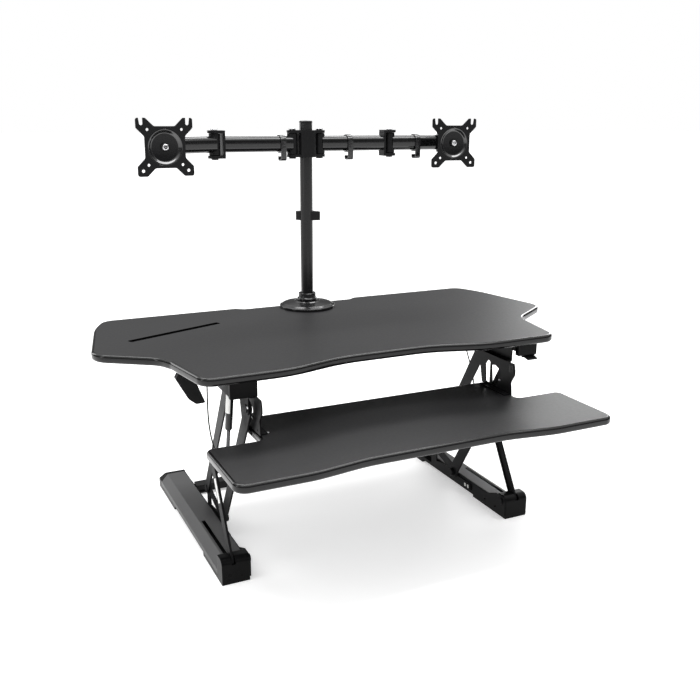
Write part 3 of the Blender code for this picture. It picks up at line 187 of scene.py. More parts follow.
def spread(tree, value, low, high):
    """Map the usual range of a noise value to another range."""
    mapped = tree.nodes.new("ShaderNodeMapRange")
    mapped.inputs["From Min"].default_value = NOISE_LOW
    mapped.inputs["From Max"].default_value = NOISE_HIGH
    mapped.inputs["To Min"].default_value = low
    mapped.inputs["To Max"].default_value = high
    tree.links.new(value, mapped.inputs["Value"])
    return mapped.outputs["Result"]


def tinted(tree, value, dark, light):
    """Mix two colours by a noise value."""
    ramp = tree.nodes.new("ShaderNodeValToRGB")
    ramp.color_ramp.elements[0].position = NOISE_LOW
    ramp.color_ramp.elements[0].color = (*dark, 1)
    ramp.color_ramp.elements[1].position = NOISE_HIGH
    ramp.color_ramp.elements[1].color = (*light, 1)
    tree.links.new(value, ramp.inputs["Fac"])
    return ramp.outputs["Color"]


def finish_material(name, dark, light, rough, grain, bump, mottle, metallic=0.0,
                    specular=0.5, stretch=None):
    """Surface with colour variation, uneven gloss and a fine relief.

    rough is the roughness range, grain the relief's scale, bump its depth in metres and
    mottle the scale of the variation.
    """
    material = bpy.data.materials.new(name)
    material.use_nodes = True
    tree = material.node_tree
    shader = tree.nodes["Principled BSDF"]
    shader.inputs["Metallic"].default_value = metallic
    shader.inputs["Specular IOR Level"].default_value = specular
    blotches = noise_nodes(tree, mottle, detail=4.0, roughness=0.6, stretch=stretch)
    fine = noise_nodes(tree, grain, detail=2.0, roughness=0.5, stretch=stretch)
    tree.links.new(tinted(tree, blotches, dark, light), shader.inputs["Base Color"])
    tree.links.new(spread(tree, blotches, *rough), shader.inputs["Roughness"])
    relief = tree.nodes.new("ShaderNodeBump")
    relief.inputs["Strength"].default_value = 1.0
    relief.inputs["Distance"].default_value = bump
    tree.links.new(fine, relief.inputs["Height"])
    tree.links.new(relief.outputs["Normal"], shader.inputs["Normal"])
    return material


STEEL = finish_material("black_powder_coat", (0.0050, 0.0050, 0.0054), (0.0070, 0.0070, 0.0075),
                        (0.30, 0.38), 1500, 0.00001, mottle=14, specular=0.14)
LINKAGE = finish_material("linkage_coat", (0.0075, 0.0075, 0.0080), (0.0100, 0.0100, 0.0105),
                          (0.34, 0.42), 1500, 0.00001, mottle=14, specular=0.05)
GLOSS_STEEL = finish_material("gloss_powder_coat", (0.0040, 0.0040, 0.0044),
                              (0.0056, 0.0056, 0.0060), (0.14, 0.18), 900, 0.000003,
                              mottle=16, specular=0.22)
# Dish step: a lighter, much glossier copy of the plate's coat; its lighter colour is a painted
# highlight, its gloss reflects the lamps.
RIM_HIGHLIGHT_STEEL = finish_material("rim_painted_highlight", (0.0060, 0.0060, 0.0064), (0.0080, 0.0080, 0.0084),
                            (0.12, 0.15), 900, 0.000002, mottle=16, specular=0.9)
# Foot covers: black powder coat made far lighter than the other steel; the extra lightness is
# painted light from their lit, upward-facing tops.
LIT_COVER_COAT = finish_material("foot_coat_painted_light", (0.050, 0.050, 0.051), (0.062, 0.062, 0.063),
                              (0.38, 0.46), 1400, 0.00002, mottle=12, specular=0.35)
TUBE = finish_material("tube_coat", (0.0030, 0.0030, 0.0033), (0.0045, 0.0045, 0.0048),
                       (0.08, 0.10), 1100, 0.0000005, mottle=20, specular=0.55)
MAST = finish_material("mast_coat", (0.0050, 0.0050, 0.0054), (0.0070, 0.0070, 0.0074),
                       (0.18, 0.24), 1100, 0.000001, mottle=20, specular=0.3)
LAMINATE = finish_material("charcoal_laminate", (0.0115, 0.0115, 0.0120),
                           (0.0135, 0.0135, 0.0140), (0.42, 0.47), 1100, 0.00002,
                           mottle=140, specular=0.22)
# Darker copy of the charcoal laminate for the keyboard tray: painted shade from the desktop above
# it.
SHADED_TRAY_LAMINATE = finish_material("tray_laminate_painted_shade", (0.0100, 0.0100, 0.0105),
                                (0.0120, 0.0120, 0.0125), (0.40, 0.45), 1100, 0.00002,
                                mottle=140, specular=0.35)
EDGE = finish_material("glossy_edge_band", (0.0026, 0.0026, 0.0027), (0.0036, 0.0036, 0.0038),
                       (0.12, 0.16), 500, 0.000002, mottle=30, specular=0.32)
PLASTIC = finish_material("moulded_plastic", (0.0045, 0.0045, 0.0048), (0.0065, 0.0065, 0.0068),
                          (0.32, 0.42), 1200, 0.00001, mottle=25, specular=0.16)
CAP_PLASTIC = finish_material("cap_plastic", (0.0026, 0.0026, 0.0028), (0.0040, 0.0040, 0.0042),
                              (0.26, 0.34), 1200, 0.00001, mottle=25, specular=0.08)
CLIP_PLASTIC = finish_material("clip_plastic", (0.0060, 0.0060, 0.0064),
                               (0.0085, 0.0085, 0.0090), (0.12, 0.20), 260, 0.00020,
                               mottle=90, specular=0.7)
GLOSS = finish_material("gloss_plastic", (0.0045, 0.0045, 0.0050), (0.0060, 0.0060, 0.0064),
                        (0.15, 0.21), 700, 0.000005, mottle=15, specular=0.35)
RUBBER = finish_material("rubber", (0.0070, 0.0070, 0.0070), (0.0105, 0.0105, 0.0105),
                         (0.70, 0.85), 900, 0.00004, mottle=40, specular=0.2)
ZINC = finish_material("zinc_plate", (0.52, 0.52, 0.53), (0.66, 0.66, 0.67),
                       (0.26, 0.38), 500, 0.00001, metallic=1.0, mottle=120)
DARK_BOLT = finish_material("black_oxide", (0.020, 0.020, 0.021), (0.034, 0.034, 0.036),
                            (0.28, 0.40), 600, 0.00001, metallic=0.7, mottle=90)
NYLON = finish_material("natural_nylon", (0.66, 0.66, 0.63), (0.76, 0.76, 0.73),
                        (0.42, 0.52), 500, 0.00001, mottle=60)
PAPER = finish_material("blank_label", (0.74, 0.74, 0.72), (0.82, 0.82, 0.80),
                        (0.50, 0.60), 700, 0.00001, mottle=80)
# Light grey paint for the strips along the feet's bottom edges.
PALE_STRIP_PAINT = finish_material("pale_strip_paint", (0.20, 0.20, 0.205), (0.34, 0.34, 0.345),
                             (0.34, 0.46), 400, 0.00001, metallic=0.2, mottle=70)
ROD = finish_material("burnished_rod", (0.050, 0.050, 0.052), (0.080, 0.080, 0.083),
                      (0.14, 0.22), 500, 0.00001, metallic=1.0, mottle=60,
                      stretch=(1, 1, 12))


# ------------------------------------------------------------------ outlines
STRAIGHT = 1e-10  # a smaller cross product means that three points are in line


def circle(centre, radius, segments):
    """Points round a circle."""
    return [(centre[0] + radius * cos(2 * pi * k / segments),
             centre[1] + radius * sin(2 * pi * k / segments)) for k in range(segments)]


def rounded(corners, segments):
    """Outline through corners (x, y, radius), each corner turned into an arc."""
    points = []
    count = len(corners)
    for index, (x, y, radius) in enumerate(corners):
        here = Vector((x, y))
        before = Vector(corners[index - 1][:2])
        after = Vector(corners[(index + 1) % count][:2])
        if radius == 0:
            points.append((x, y))
            continue
        back = (before - here).normalized()
        ahead = (after - here).normalized()
        half = back.angle(ahead) / 2
        centre = here + (back + ahead).normalized() * radius / sin(half)
        start = here + back * radius / (sin(half) / cos(half)) - centre
        end = here + ahead * radius / (sin(half) / cos(half)) - centre
        first = atan2(start.y, start.x)
        turn = (atan2(end.y, end.x) - first + pi) % (2 * pi) - pi
        for step in range(segments + 1):
            angle = first + turn * step / segments
            points.append((centre.x + radius * cos(angle), centre.y + radius * sin(angle)))
    return points


def hull(circles, segments):
    """Outline of a plate stretched round bosses (centre, radius)."""
    cloud = []
    for centre, radius in circles:
        cloud += circle(centre, radius, segments)
    cloud = sorted(set((round(x, 7), round(y, 7)) for x, y in cloud))

    def half(points):
        chain = []
        for point in points:
            while len(chain) > 1:
                (ax, ay), (bx, by) = chain[-2], chain[-1]
                if (bx - ax) * (point[1] - ay) - (by - ay) * (point[0] - ax) > STRAIGHT:
                    break
                chain.pop()
            chain.append(point)
        return chain[:-1]
    return half(cloud) + half(cloud[::-1])


# ------------------------------------------------------------------ solids
PIECE_CREASE, NODE_CREASE = 40, 38  # degrees from which an edge is shaded as sharp
BEVEL_SEGMENTS, FACE_WEIGHT = 2, 100
WELD = 0.00001


def add_prism(bm, outline, low, high, axis, holes=()):
    """Extrude an outline with holes along an axis; (u, v) are the other two axes."""
    def vector(u, v, w):
        return {"x": (w, u, v), "y": (u, w, v), "z": (u, v, w)}[axis]
    edges = []
    for loop in [outline, *holes]:
        verts = [bm.verts.new(vector(u, v, low)) for u, v in loop]
        edges += [bm.edges.new((verts[k - 1], verts[k])) for k in range(len(verts))]
    filled = bmesh.ops.triangle_fill(bm, edges=edges, use_beauty=True, use_dissolve=False)
    faces = [item for item in filled["geom"] if isinstance(item, bmesh.types.BMFace)]
    grown = bmesh.ops.extrude_face_region(bm, geom=faces, use_keep_orig=True)
    moved = [item for item in grown["geom"] if isinstance(item, bmesh.types.BMVert)]
    bmesh.ops.translate(bm, verts=moved, vec=Vector(vector(0, 0, high - low)))


def add_turned(bm, profile, start, direction, segments):
    """Solid of revolution; profile is (radius, distance) along the direction."""
    turn = Vector((0, 0, 1)).rotation_difference(Vector(direction)).to_matrix().to_4x4()
    place = Matrix.Translation(Vector(start)) @ turn
    rings = []
    for radius, height in profile:
        if radius == 0:
            rings.append([bm.verts.new(place @ Vector((0, 0, height)))])
            continue
        rings.append([bm.verts.new(place @ Vector((radius * cos(2 * pi * k / segments),
                                                   radius * sin(2 * pi * k / segments), height)))
                      for k in range(segments)])
    closed = profile[0][0] > 0
    pairs = list(zip(rings, rings[1:])) + ([(rings[-1], rings[0])] if closed else [])
    for ring, after in pairs:
        for k in range(segments):
            corners = []
            for vert in (ring[k % len(ring)], ring[(k + 1) % len(ring)],
                         after[(k + 1) % len(after)], after[k % len(after)]):
                if vert not in corners:
                    corners.append(vert)
            if len(corners) > 2:
                bm.faces.new(corners)


def add_loft(bm, sections):
    """Skin a row of equal loops of points, with flat ends."""
    loops = [[bm.verts.new(point) for point in section] for section in sections]
    count = len(loops[0])
    for one, two in zip(loops, loops[1:]):
        for k in range(count):
            bm.faces.new((one[k], one[(k + 1) % count], two[(k + 1) % count], two[k]))
    bm.faces.new(loops[0])
    bm.faces.new(loops[-1])


def piece(name, bm, material, body, nodes=(), bevel=0.0, angle=30):
    """Finish a bmesh as a named piece that rides a body, if any, and stands for CAD nodes.

    Edges sharper than angle are rounded by bevel.
    """
    bmesh.ops.recalc_face_normals(bm, faces=bm.faces)
    mesh = bpy.data.meshes.new(name)
    bm.to_mesh(mesh)
    bm.free()
    obj = bpy.data.objects.new(name, mesh)
    bpy.context.collection.objects.link(obj)
    for one in material if isinstance(material, (list, tuple)) else (material,):
        mesh.materials.append(one)
    if bevel:
        soften(obj, bevel, angle)
    obj.data.shade_smooth()
    obj.data.set_sharp_from_angle(angle=radians(PIECE_CREASE))
    if body:
        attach(obj, body)
    if nodes:
        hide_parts(*nodes)
    return obj


def soften(obj, width, angle=30):
    """Round an object's sharp edges and keep its flat faces evenly shaded."""
    modifier = obj.modifiers.new("edges", "BEVEL")
    modifier.width = width
    modifier.segments = BEVEL_SEGMENTS
    modifier.limit_method = "ANGLE"
    modifier.angle_limit = radians(angle)
    modifier.miter_outer = "MITER_ARC"
    even = obj.modifiers.new("even_faces", "WEIGHTED_NORMAL")
    even.mode = "FACE_AREA"
    even.weight = FACE_WEIGHT
    even.keep_sharp = True


# ------------------------------------------------------------------ CAD nodes kept
def dress(node, material, width=0.0005):
    """Give a CAD node its finish and softened edges."""
    obj = frame["nodes"][node]
    obj.data.materials.clear()
    obj.data.materials.append(material)
    for polygon in obj.data.polygons:
        polygon.material_index = 0
    obj.data.shade_smooth()
    obj.data.set_sharp_from_angle(angle=radians(NODE_CREASE))
    weld = obj.modifiers.new("weld", "WELD")
    weld.merge_threshold = WELD
    soften(obj, width)


def dress_kept_nodes():
    """Finishes of all nodes that keep their CAD shape."""
    for label, _ in SIDES:
        for node in ("side_rail", "main_arm", "rear_arm", "front_link", "carriage_plate",
                     "lift_bracket", "tray_hanger"):
            dress(f"{node}_{label}", LINKAGE)
        for node in ("swivel_yoke", "tilt_hub"):
            dress(f"{node}_{label}", STEEL)
        # Foot covers take the black coat lightened with painted light.
        dress(f"foot_cover_{label}", LIT_COVER_COAT, 0.0008)
        dress(f"front_cap_{label}", CAP_PLASTIC, 0.0010)
        dress(f"rear_cap_{label}", CAP_PLASTIC, 0.0010)
        dress(f"glide_shoe_{label}", RUBBER, 0.0008)
        dress(f"inner_arm_clip_{label}", CLIP_PLASTIC)
    for node in ("rear_crossbar", "paddle_bracket", "clamp_frame", "clamp_screw", "mount_clamp"):
        dress(node, STEEL)
    for node, material in (("front_cover", CAP_PLASTIC), ("tab_housing", CAP_PLASTIC),
                           ("mast_cable_clip", PLASTIC), ("mast_cap", PLASTIC),
                           ("locking_tab", PLASTIC), ("outer_arm_clip_right", CLIP_PLASTIC)):
        dress(node, material)


# ------------------------------------------------------------------ shared sizes
FOOT_FRONT_Y = -0.158
DESK_TOP, TRAY_TOP, BOARD = 0.4638, 0.3297, 0.018
DESK_UNDERSIDE = DESK_TOP - BOARD
BOARD_ROUNDING, BOARD_ARC_STEPS = 0.0060, 7
CORNER_SEGMENTS = 14
GROOVE_HALF, CAD_GROOVE_HALF, GROOVE_DEPTH = 0.0085, 0.0065, 0.010
MITRE_LIMIT = 0.3
GAP = 0.0003
MAST_RADIUS, MAST_WALL, MAST_TOP, MAST_CLEARANCE = 0.0158, 0.0025, 0.930, 0.0006
SEAT_PLATE, COVER_RISE = 0.0053, 0.012
ARM_HEIGHT = 0.880


def behind(distance):
    """Y of a place given as its distance behind the feet's front faces."""
    return FOOT_FRONT_Y + distance


# ------------------------------------------------------------------ boards
def inset_loop(points, distance):
    """Outline moved inwards by a distance, whichever way round its points run."""
    moved = []
    count = len(points)
    area = sum(points[k - 1][0] * points[k][1] - points[k][0] * points[k - 1][1]
               for k in range(count))
    sign = 1 if area > 0 else -1
    for k in range(count):
        before, here, after = (Vector(points[k - 1]), Vector(points[k]),
                               Vector(points[(k + 1) % count]))
        first = (here - before).normalized()
        second = (after - here).normalized()
        normal = Vector((-(first.y + second.y), first.x + second.x)).normalized() * sign
        across = Vector((-first.y, first.x)) * sign
        moved.append(tuple(here + normal * distance / max(normal.dot(across), MITRE_LIMIT)))
    return moved


def add_board(bm, outline, low, high, groove=()):
    """Board with rolled edges; its flat faces get the first material, the edge the second.

    Two narrow rings inside the rolled edge keep the change of material crisp.
    """
    radius, steps = BOARD_ROUNDING, BOARD_ARC_STEPS
    inner, outer = radius + 0.0016, radius + 0.0004
    rings = [(inner, low), (outer, low)]
    for step in range(steps + 1):
        angle = pi / 2 * step / steps
        rings.append((radius * (1 - sin(angle)), low + radius * (1 - cos(angle))))
    for step in range(steps + 1):
        angle = pi / 2 * step / steps
        rings.append((radius * (1 - cos(angle)), high - radius * (1 - sin(angle))))
    rings += [(outer, high), (inner, high)]
    loops = []
    for inset, z in rings:
        loops.append([bm.verts.new((x, y, z)) for x, y in inset_loop(outline, inset)])
    count = len(outline)
    for index, (one, two) in enumerate(zip(loops, loops[1:])):
        for k in range(count):
            face = bm.faces.new((one[k], one[(k + 1) % count], two[(k + 1) % count], two[k]))
            face.material_index = 0 if index in (0, len(loops) - 2) else 1
    holes = []
    if groove:
        holes = [bm.verts.new((x, y, high)) for x, y in groove]
        floor = [bm.verts.new((x, y, high - GROOVE_DEPTH)) for x, y in groove]
        for k in range(len(groove)):
            after = (k + 1) % len(groove)
            bm.faces.new((holes[k], holes[after], floor[after], floor[k])).material_index = 1
        bm.faces.new(floor).material_index = 1
    for loop, hole in ((loops[0], []), (loops[-1], holes)):
        edges = [bm.edges.get((ring[k - 1], ring[k])) for ring in (loop, hole) if ring
                 for k in range(len(ring))]
        bmesh.ops.triangle_fill(bm, edges=edges, use_beauty=True, use_dissolve=False)


def mirrored_outline(half):
    """Full outline from the right half, given as (X, behind, radius)."""
    mirror = [(-x, y, r) for x, y, r in reversed(half) if x > 0]
    return rounded([(x, behind(y), r) for x, y, r in half + mirror], CORNER_SEGMENTS)


def groove_corners(ends):
    """Corners of the tablet groove round its centre line, larger than the CAD's on all sides."""
    along = (ends[1] - ends[0]).normalized()
    across = Vector((-along.y, along.x)) * GROOVE_HALF
    first = ends[0] - along * (GROOVE_HALF - CAD_GROOVE_HALF)
    last = ends[1] + along * (GROOVE_HALF - CAD_GROOVE_HALF)
    return (first - across, last - across, last + across, first + across)


def make_boards():
    """Desktop with its tablet groove, and the keyboard tray."""
    half = [(0.0, 0.521, 0), (0.150, 0.521, 0.010), (0.170, 0.536, 0.010),
            (0.508, 0.536, 0.040), (0.540, 0.463, 0.300), (0.584, 0.238, 0.050),
            (0.462, 0.155, 0.060), (0.446, 0.118, 0.040), (0.420, -0.029, 0.034),
            (0.235, -0.029, 0.300), (0.105, 0.008, 0.300), (0.0, 0.008, 0)]
    ends = (Vector((-0.486, behind(0.314))), Vector((-0.258, behind(0.399))))
    groove = rounded([(*point, 0.0045) for point in groove_corners(ends)], 6)
    bm = bmesh.new()
    add_board(bm, mirrored_outline(half), DESK_UNDERSIDE, DESK_TOP, groove)
    piece("desktop_board", bm, (LAMINATE, EDGE), "desk", ("desktop",))
    half = [(0.0, 0.093, 0), (0.310, 0.093, 0.010), (0.310, -0.042, 0.010),
            (0.426, -0.042, 0.016), (0.426, -0.235, 0.026), (0.270, -0.235, 0.300),
            (0.160, -0.218, 0.300), (0.0, -0.218, 0)]
    bm = bmesh.new()
    add_board(bm, mirrored_outline(half), TRAY_TOP - BOARD, TRAY_TOP)
    # The tray's top takes the laminate darkened with painted shade.
    piece("tray_board", bm, (SHADED_TRAY_LAMINATE, EDGE), "desk", ("keyboard_tray",))


# ------------------------------------------------------------------ mast
def make_mast():
    """Round pieces of the mast, finer than the CAD ones."""
    low, high = (Vector(corner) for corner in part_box("mast"))
    x, y = (low.x + high.x) / 2, (low.y + high.y) / 2
    top = DESK_TOP + GAP
    plate_top = top + SEAT_PLATE
    bore = MAST_RADIUS + MAST_CLEARANCE
    bm = bmesh.new()
    add_turned(bm, [(bore, plate_top + COVER_RISE), (0.0290, plate_top + COVER_RISE),
                    (0.0300, plate_top + 0.0118), (0.0330, plate_top + 0.0098),
                    (0.0350, plate_top + 0.0092), (0.0600, plate_top + 0.0064),
                    (0.0630, plate_top + 0.0055), (0.0660, plate_top + 0.0030),
                    (0.0680, plate_top + 0.0022), (0.0705, plate_top + 0.0016),
                    (0.0716, plate_top + 0.0008), (0.0720, plate_top - 0.0006), (0.0720, top),
                    (0.0690, top), (0.0690, plate_top), (bore, plate_top)],
               (x, y, 0), (0, 0, 1), 96)
    piece("base_disc", bm, GLOSS, "desk", ("base_cover",), 0.0002, angle=50)
    bm = bmesh.new()
    add_turned(bm, [(MAST_RADIUS, plate_top), (MAST_RADIUS, MAST_TOP),
                    (MAST_RADIUS - MAST_WALL, MAST_TOP), (MAST_RADIUS - MAST_WALL, plate_top)],
               (x, y, 0), (0, 0, 1), 64)
    piece("mast_tube", bm, MAST, "desk", ("mast",), 0.0004)
    bm = bmesh.new()
    base = plate_top + COVER_RISE + GAP
    add_turned(bm, [(MAST_RADIUS + GAP, base), (0.0256, base), (0.0260, base + 0.0006),
                    (0.0260, base + 0.0056), (0.0254, base + 0.0064), (0.0230, base + 0.0086),
                    (0.0225, base + 0.0100), (0.0225, base + 0.0188), (0.0214, base + 0.0200),
                    (MAST_RADIUS + GAP, base + 0.020)], (x, y, 0), (0, 0, 1), 64)
    piece("collar_ring", bm, GLOSS, "desk", ("mast_collar",), angle=50)


# ------------------------------------------------------------------ mounting plates
SHEET = 0.0030
PLATE_HALF, PLATE_WAIST, SMALL_SQUARE, LARGE_SQUARE = 0.062, 0.0445, 0.0375, 0.050
NOTCH_HALF, NOTCH_FLARE, EAR_START = 0.0035, 0.0022, 0.0410
SMALL_HOLE, LARGE_HOLE, DISH_OPENING = 0.0031, 0.0036, 0.0395
DISH_INNER, DISH_SLOPE, DISH_RIM, SLOPE_STEPS = 0.0295, 0.0085, 0.0378, 12


def make_plates():
    """Mounting plates with open upper notches, and their pressed dishes."""
    half, waist, small, large = PLATE_HALF, PLATE_WAIST, SMALL_SQUARE, LARGE_SQUARE
    near, far = large - NOTCH_HALF, large + NOTCH_HALF
    quarter = [(0.023, waist, 0.008), (EAR_START, half, 0.005), (half, half, 0.005),
               (half, EAR_START, 0.005), (waist, 0.023, 0.008)]
    for label, _ in SIDES:
        joint = JOINTS[f"plate_turn_{label}"]
        centre, backwards = Vector(joint["pos_m"]), Vector(joint["axis"])
        across = backwards.cross(Vector((0, 0, 1)))
        turn = Matrix((across, backwards, Vector((0, 0, 1)))).transposed().to_4x4()
        place = Matrix.Translation(centre) @ turn
        corners = []
        for quadrant in range(4):
            for u, v, radius in quarter:
                for _ in range(quadrant):
                    u, v = v, -u
                corners.append((u, v, radius))
                if (u, v) == (EAR_START, half):
                    corners += [(near, half, 0.0008), (near, near, 0.0033),
                                (far, near, 0.0033), (far + NOTCH_FLARE, half, 0.0008)]
                elif (u, v) == (-half, half):
                    corners += [(-far - NOTCH_FLARE, half, 0.0008), (-far, near, 0.0033),
                                (-near, near, 0.0033), (-near, half, 0.0008)]
        holes = [circle((i * small, j * small), SMALL_HOLE, 24)
                 for i in (-1, 1) for j in (-1, 1)]
        holes += [circle((i * large, -large), LARGE_HOLE, 24) for i in (-1, 1)]
        holes.append(circle((0, 0), DISH_OPENING, 72))
        bm = bmesh.new()
        add_prism(bm, rounded(corners, 6), -SHEET, 0, "y", holes)
        bm.transform(place)
        piece(f"mount_sheet_{label}", bm, STEEL, f"plate_{label}_body",
              (f"vesa_plate_{label}",), 0.0005)
        bm = bmesh.new()
        slope = [(DISH_INNER + DISH_SLOPE * k / SLOPE_STEPS,
                  0.0012 - 0.0044 * (1 - cos(pi * k / SLOPE_STEPS)) / 2)
                 for k in range(SLOPE_STEPS + 1)]
        add_turned(bm, [(0.0080, 0.0012), *slope, (0.0394, -0.0031), (0.0394, -0.0002),
                        (0.0386, 0.0004), (0.0370, 0.0036), (0.0080, 0.0036)],
                   (0, 0, 0), (0, 1, 0), 96)
        # Faces on the dish's sloped step take the lighter copy: painted highlight round the rim.
        for face in bm.faces:
            reach = face.calc_center_median()
            rim = DISH_INNER < Vector((reach.x, reach.z)).length < DISH_RIM
            face.material_index = 1 if rim else 0
        bm.transform(place)
        piece(f"mount_dish_{label}", bm, (GLOSS_STEEL, RIM_HIGHLIGHT_STEEL), f"plate_{label}_body",
              angle=80)
        bm = bmesh.new()
        add_turned(bm, [(0, -0.0066), (0.0012, -0.0066), (0.0016, -0.0050), (0.0034, -0.0050),
                        (0.0038, -0.0066), (0.0056, -0.0066), (0.0066, -0.0058),
                        (0.0068, -0.0044), (0.0068, -0.0014), (0, -0.0014)],
                   (0, 0, 0), (0, 1, 0), 48)
        bm.transform(place)
        piece(f"mount_bolt_{label}", bm, ZINC, f"hub_{label}_body", angle=50)
        bm = bmesh.new()
        add_turned(bm, [(0, -0.0016), (0.0088, -0.0016), (0.0094, -0.0010), (0.0094, 0.0002),
                        (0, 0.0002)], (0, 0, 0), (0, 1, 0), 48)
        bm.transform(place)
        piece(f"mount_washer_{label}", bm, GLOSS, f"hub_{label}_body", angle=50)


# ------------------------------------------------------------------ monitor arms
ARM_TUBE_HALF = (0.0150, 0.0190)
TUBE_ROUNDNESS, TUBE_INSET = 0.85, 0.0030
FORK_HALF, KNUCKLE_HALF, NECK_HALF = 0.0325, 0.0255, 0.0185
KNUCKLE_RADIUS, HEAD_RADIUS, HEAD_HALF, FORK_RADIUS = 0.0135, 0.0162, 0.0200, 0.0165
FORK_REACH, BOLT_RADIUS = 0.0200, 0.0088


def add_hex_head(bm, place, radius, height, direction=(0, 0, 1)):
    """Hexagonal bolt head with a chamfered crown."""
    add_turned(bm, [(0, 0), (radius, 0), (radius, height * 0.75), (radius * 0.86, height),
                    (0, height)], place, direction, 6)


def add_boss(bm, x, y, radius, half):
    """Upright knuckle with chamfered rims, centred on the arms' height."""
    rim = 0.0012
    add_turned(bm, [(0, -half), (radius - rim, -half), (radius, -half + rim),
                    (radius, half - rim), (radius - rim, half), (0, half)],
               (x, y, ARM_HEIGHT), (0, 0, 1), 48)


def add_tube(bm, start, end, y):
    """Rounded box tube of an arm along X."""
    half_y, half_z = ARM_TUBE_HALF
    radius = half_y * TUBE_ROUNDNESS
    outline = rounded([(y - half_y, ARM_HEIGHT - half_z, radius),
                       (y + half_y, ARM_HEIGHT - half_z, radius),
                       (y + half_y, ARM_HEIGHT + half_z, radius),
                       (y - half_y, ARM_HEIGHT + half_z, radius)], 12)
    add_prism(bm, outline, start, end, "x")


def make_arms():
    """Arms of the monitor mount with their knuckles, forks and bolts."""
    for label, side in SIDES:
        start, elbow, head = (pivot(f"{joint}_{label}")
                              for joint in ("inner_arm_swing", "elbow", "head_swivel"))
        y = start.y
        body = f"inner_arm_{label}_body"
        bm = bmesh.new()
        add_tube(bm, start.x + side * TUBE_INSET, elbow.x - side * FORK_REACH, y)
        piece(f"inner_tube_{label}", bm, TUBE, body, (f"inner_arm_{label}",))
        bm = bmesh.new()
        add_boss(bm, start.x, y, KNUCKLE_RADIUS, KNUCKLE_HALF)
        piece(f"inner_knuckle_{label}", bm, STEEL, body)
        bm = bmesh.new()
        root = elbow.x - side * FORK_REACH
        fork = hull([((elbow.x, y), FORK_RADIUS), ((root, y + 0.013), 0.003),
                     ((root, y - 0.013), 0.003)], 64)
        near, far = elbow.x - side * 0.0175, elbow.x - side * 0.0230
        web = rounded([(far, y - 0.0160, 0.002), (near, y - 0.0160, 0.002),
                       (near, y + 0.0160, 0.002), (far, y + 0.0160, 0.002)], 4)
        for outline, low, high in ((fork, KNUCKLE_HALF + 0.0005, FORK_HALF),
                                   (fork, -FORK_HALF, -KNUCKLE_HALF - 0.0005),
                                   (web, -KNUCKLE_HALF - 0.0010, KNUCKLE_HALF + 0.0010)):
            add_prism(bm, outline, ARM_HEIGHT + low, ARM_HEIGHT + high, "z")
        piece(f"elbow_fork_{label}", bm, STEEL, body, bevel=0.0007)
        bm = bmesh.new()
        add_hex_head(bm, (elbow.x, y, ARM_HEIGHT + FORK_HALF), BOLT_RADIUS, 0.0040)
        piece(f"elbow_bolt_{label}", bm, ZINC, body, bevel=0.0002)
        bm = bmesh.new()
        add_hex_head(bm, (elbow.x, y, ARM_HEIGHT - FORK_HALF), BOLT_RADIUS, 0.0036, (0, 0, -1))
        piece(f"elbow_nut_{label}", bm, DARK_BOLT, body, bevel=0.0002)
        body = f"outer_arm_{label}_body"
        direction = (head - elbow).to_2d()
        length = direction.length
        bm = bmesh.new()
        add_tube(bm, TUBE_INSET, length - 0.0270, 0)
        turn = Matrix.Rotation(atan2(direction.y, direction.x), 4, "Z")
        place = Matrix.Translation((elbow.x, elbow.y, 0)) @ turn
        bm.transform(place)
        piece(f"outer_tube_{label}", bm, TUBE, body, (f"outer_arm_{label}",))
        bm = bmesh.new()
        add_boss(bm, 0, 0, KNUCKLE_RADIUS, KNUCKLE_HALF)
        add_boss(bm, length, 0, HEAD_RADIUS, HEAD_HALF)
        neck = rounded([(length - 0.0290, -0.0080, 0.001), (length - 0.0080, -0.0080, 0),
                        (length - 0.0080, 0.0080, 0), (length - 0.0290, 0.0080, 0.001)], 4)
        add_prism(bm, neck, ARM_HEIGHT - NECK_HALF, ARM_HEIGHT + NECK_HALF, "z")
        bm.transform(place)
        piece(f"outer_knuckles_{label}", bm, STEEL, body)
        bm = bmesh.new()
        add_hex_head(bm, (start.x, y, ARM_HEIGHT + FORK_HALF + 0.0001), BOLT_RADIUS, 0.0038)
        piece(f"clamp_bolt_{label}", bm, ZINC, "mount_clamp_body", bevel=0.0002)


# ------------------------------------------------------------------ gas spring
GAS_TOP = Vector((-0.3370, behind(0.0608), 0.428))
GAS_FOOT = Vector((-0.3370, -0.05496, 0.2352))
GAS_RADIUS = 0.0080
LABEL_ENDS, LABEL_START, LABEL_STOP, LABEL_STEP = (0.0325, 0.0765), 100, 208, 4


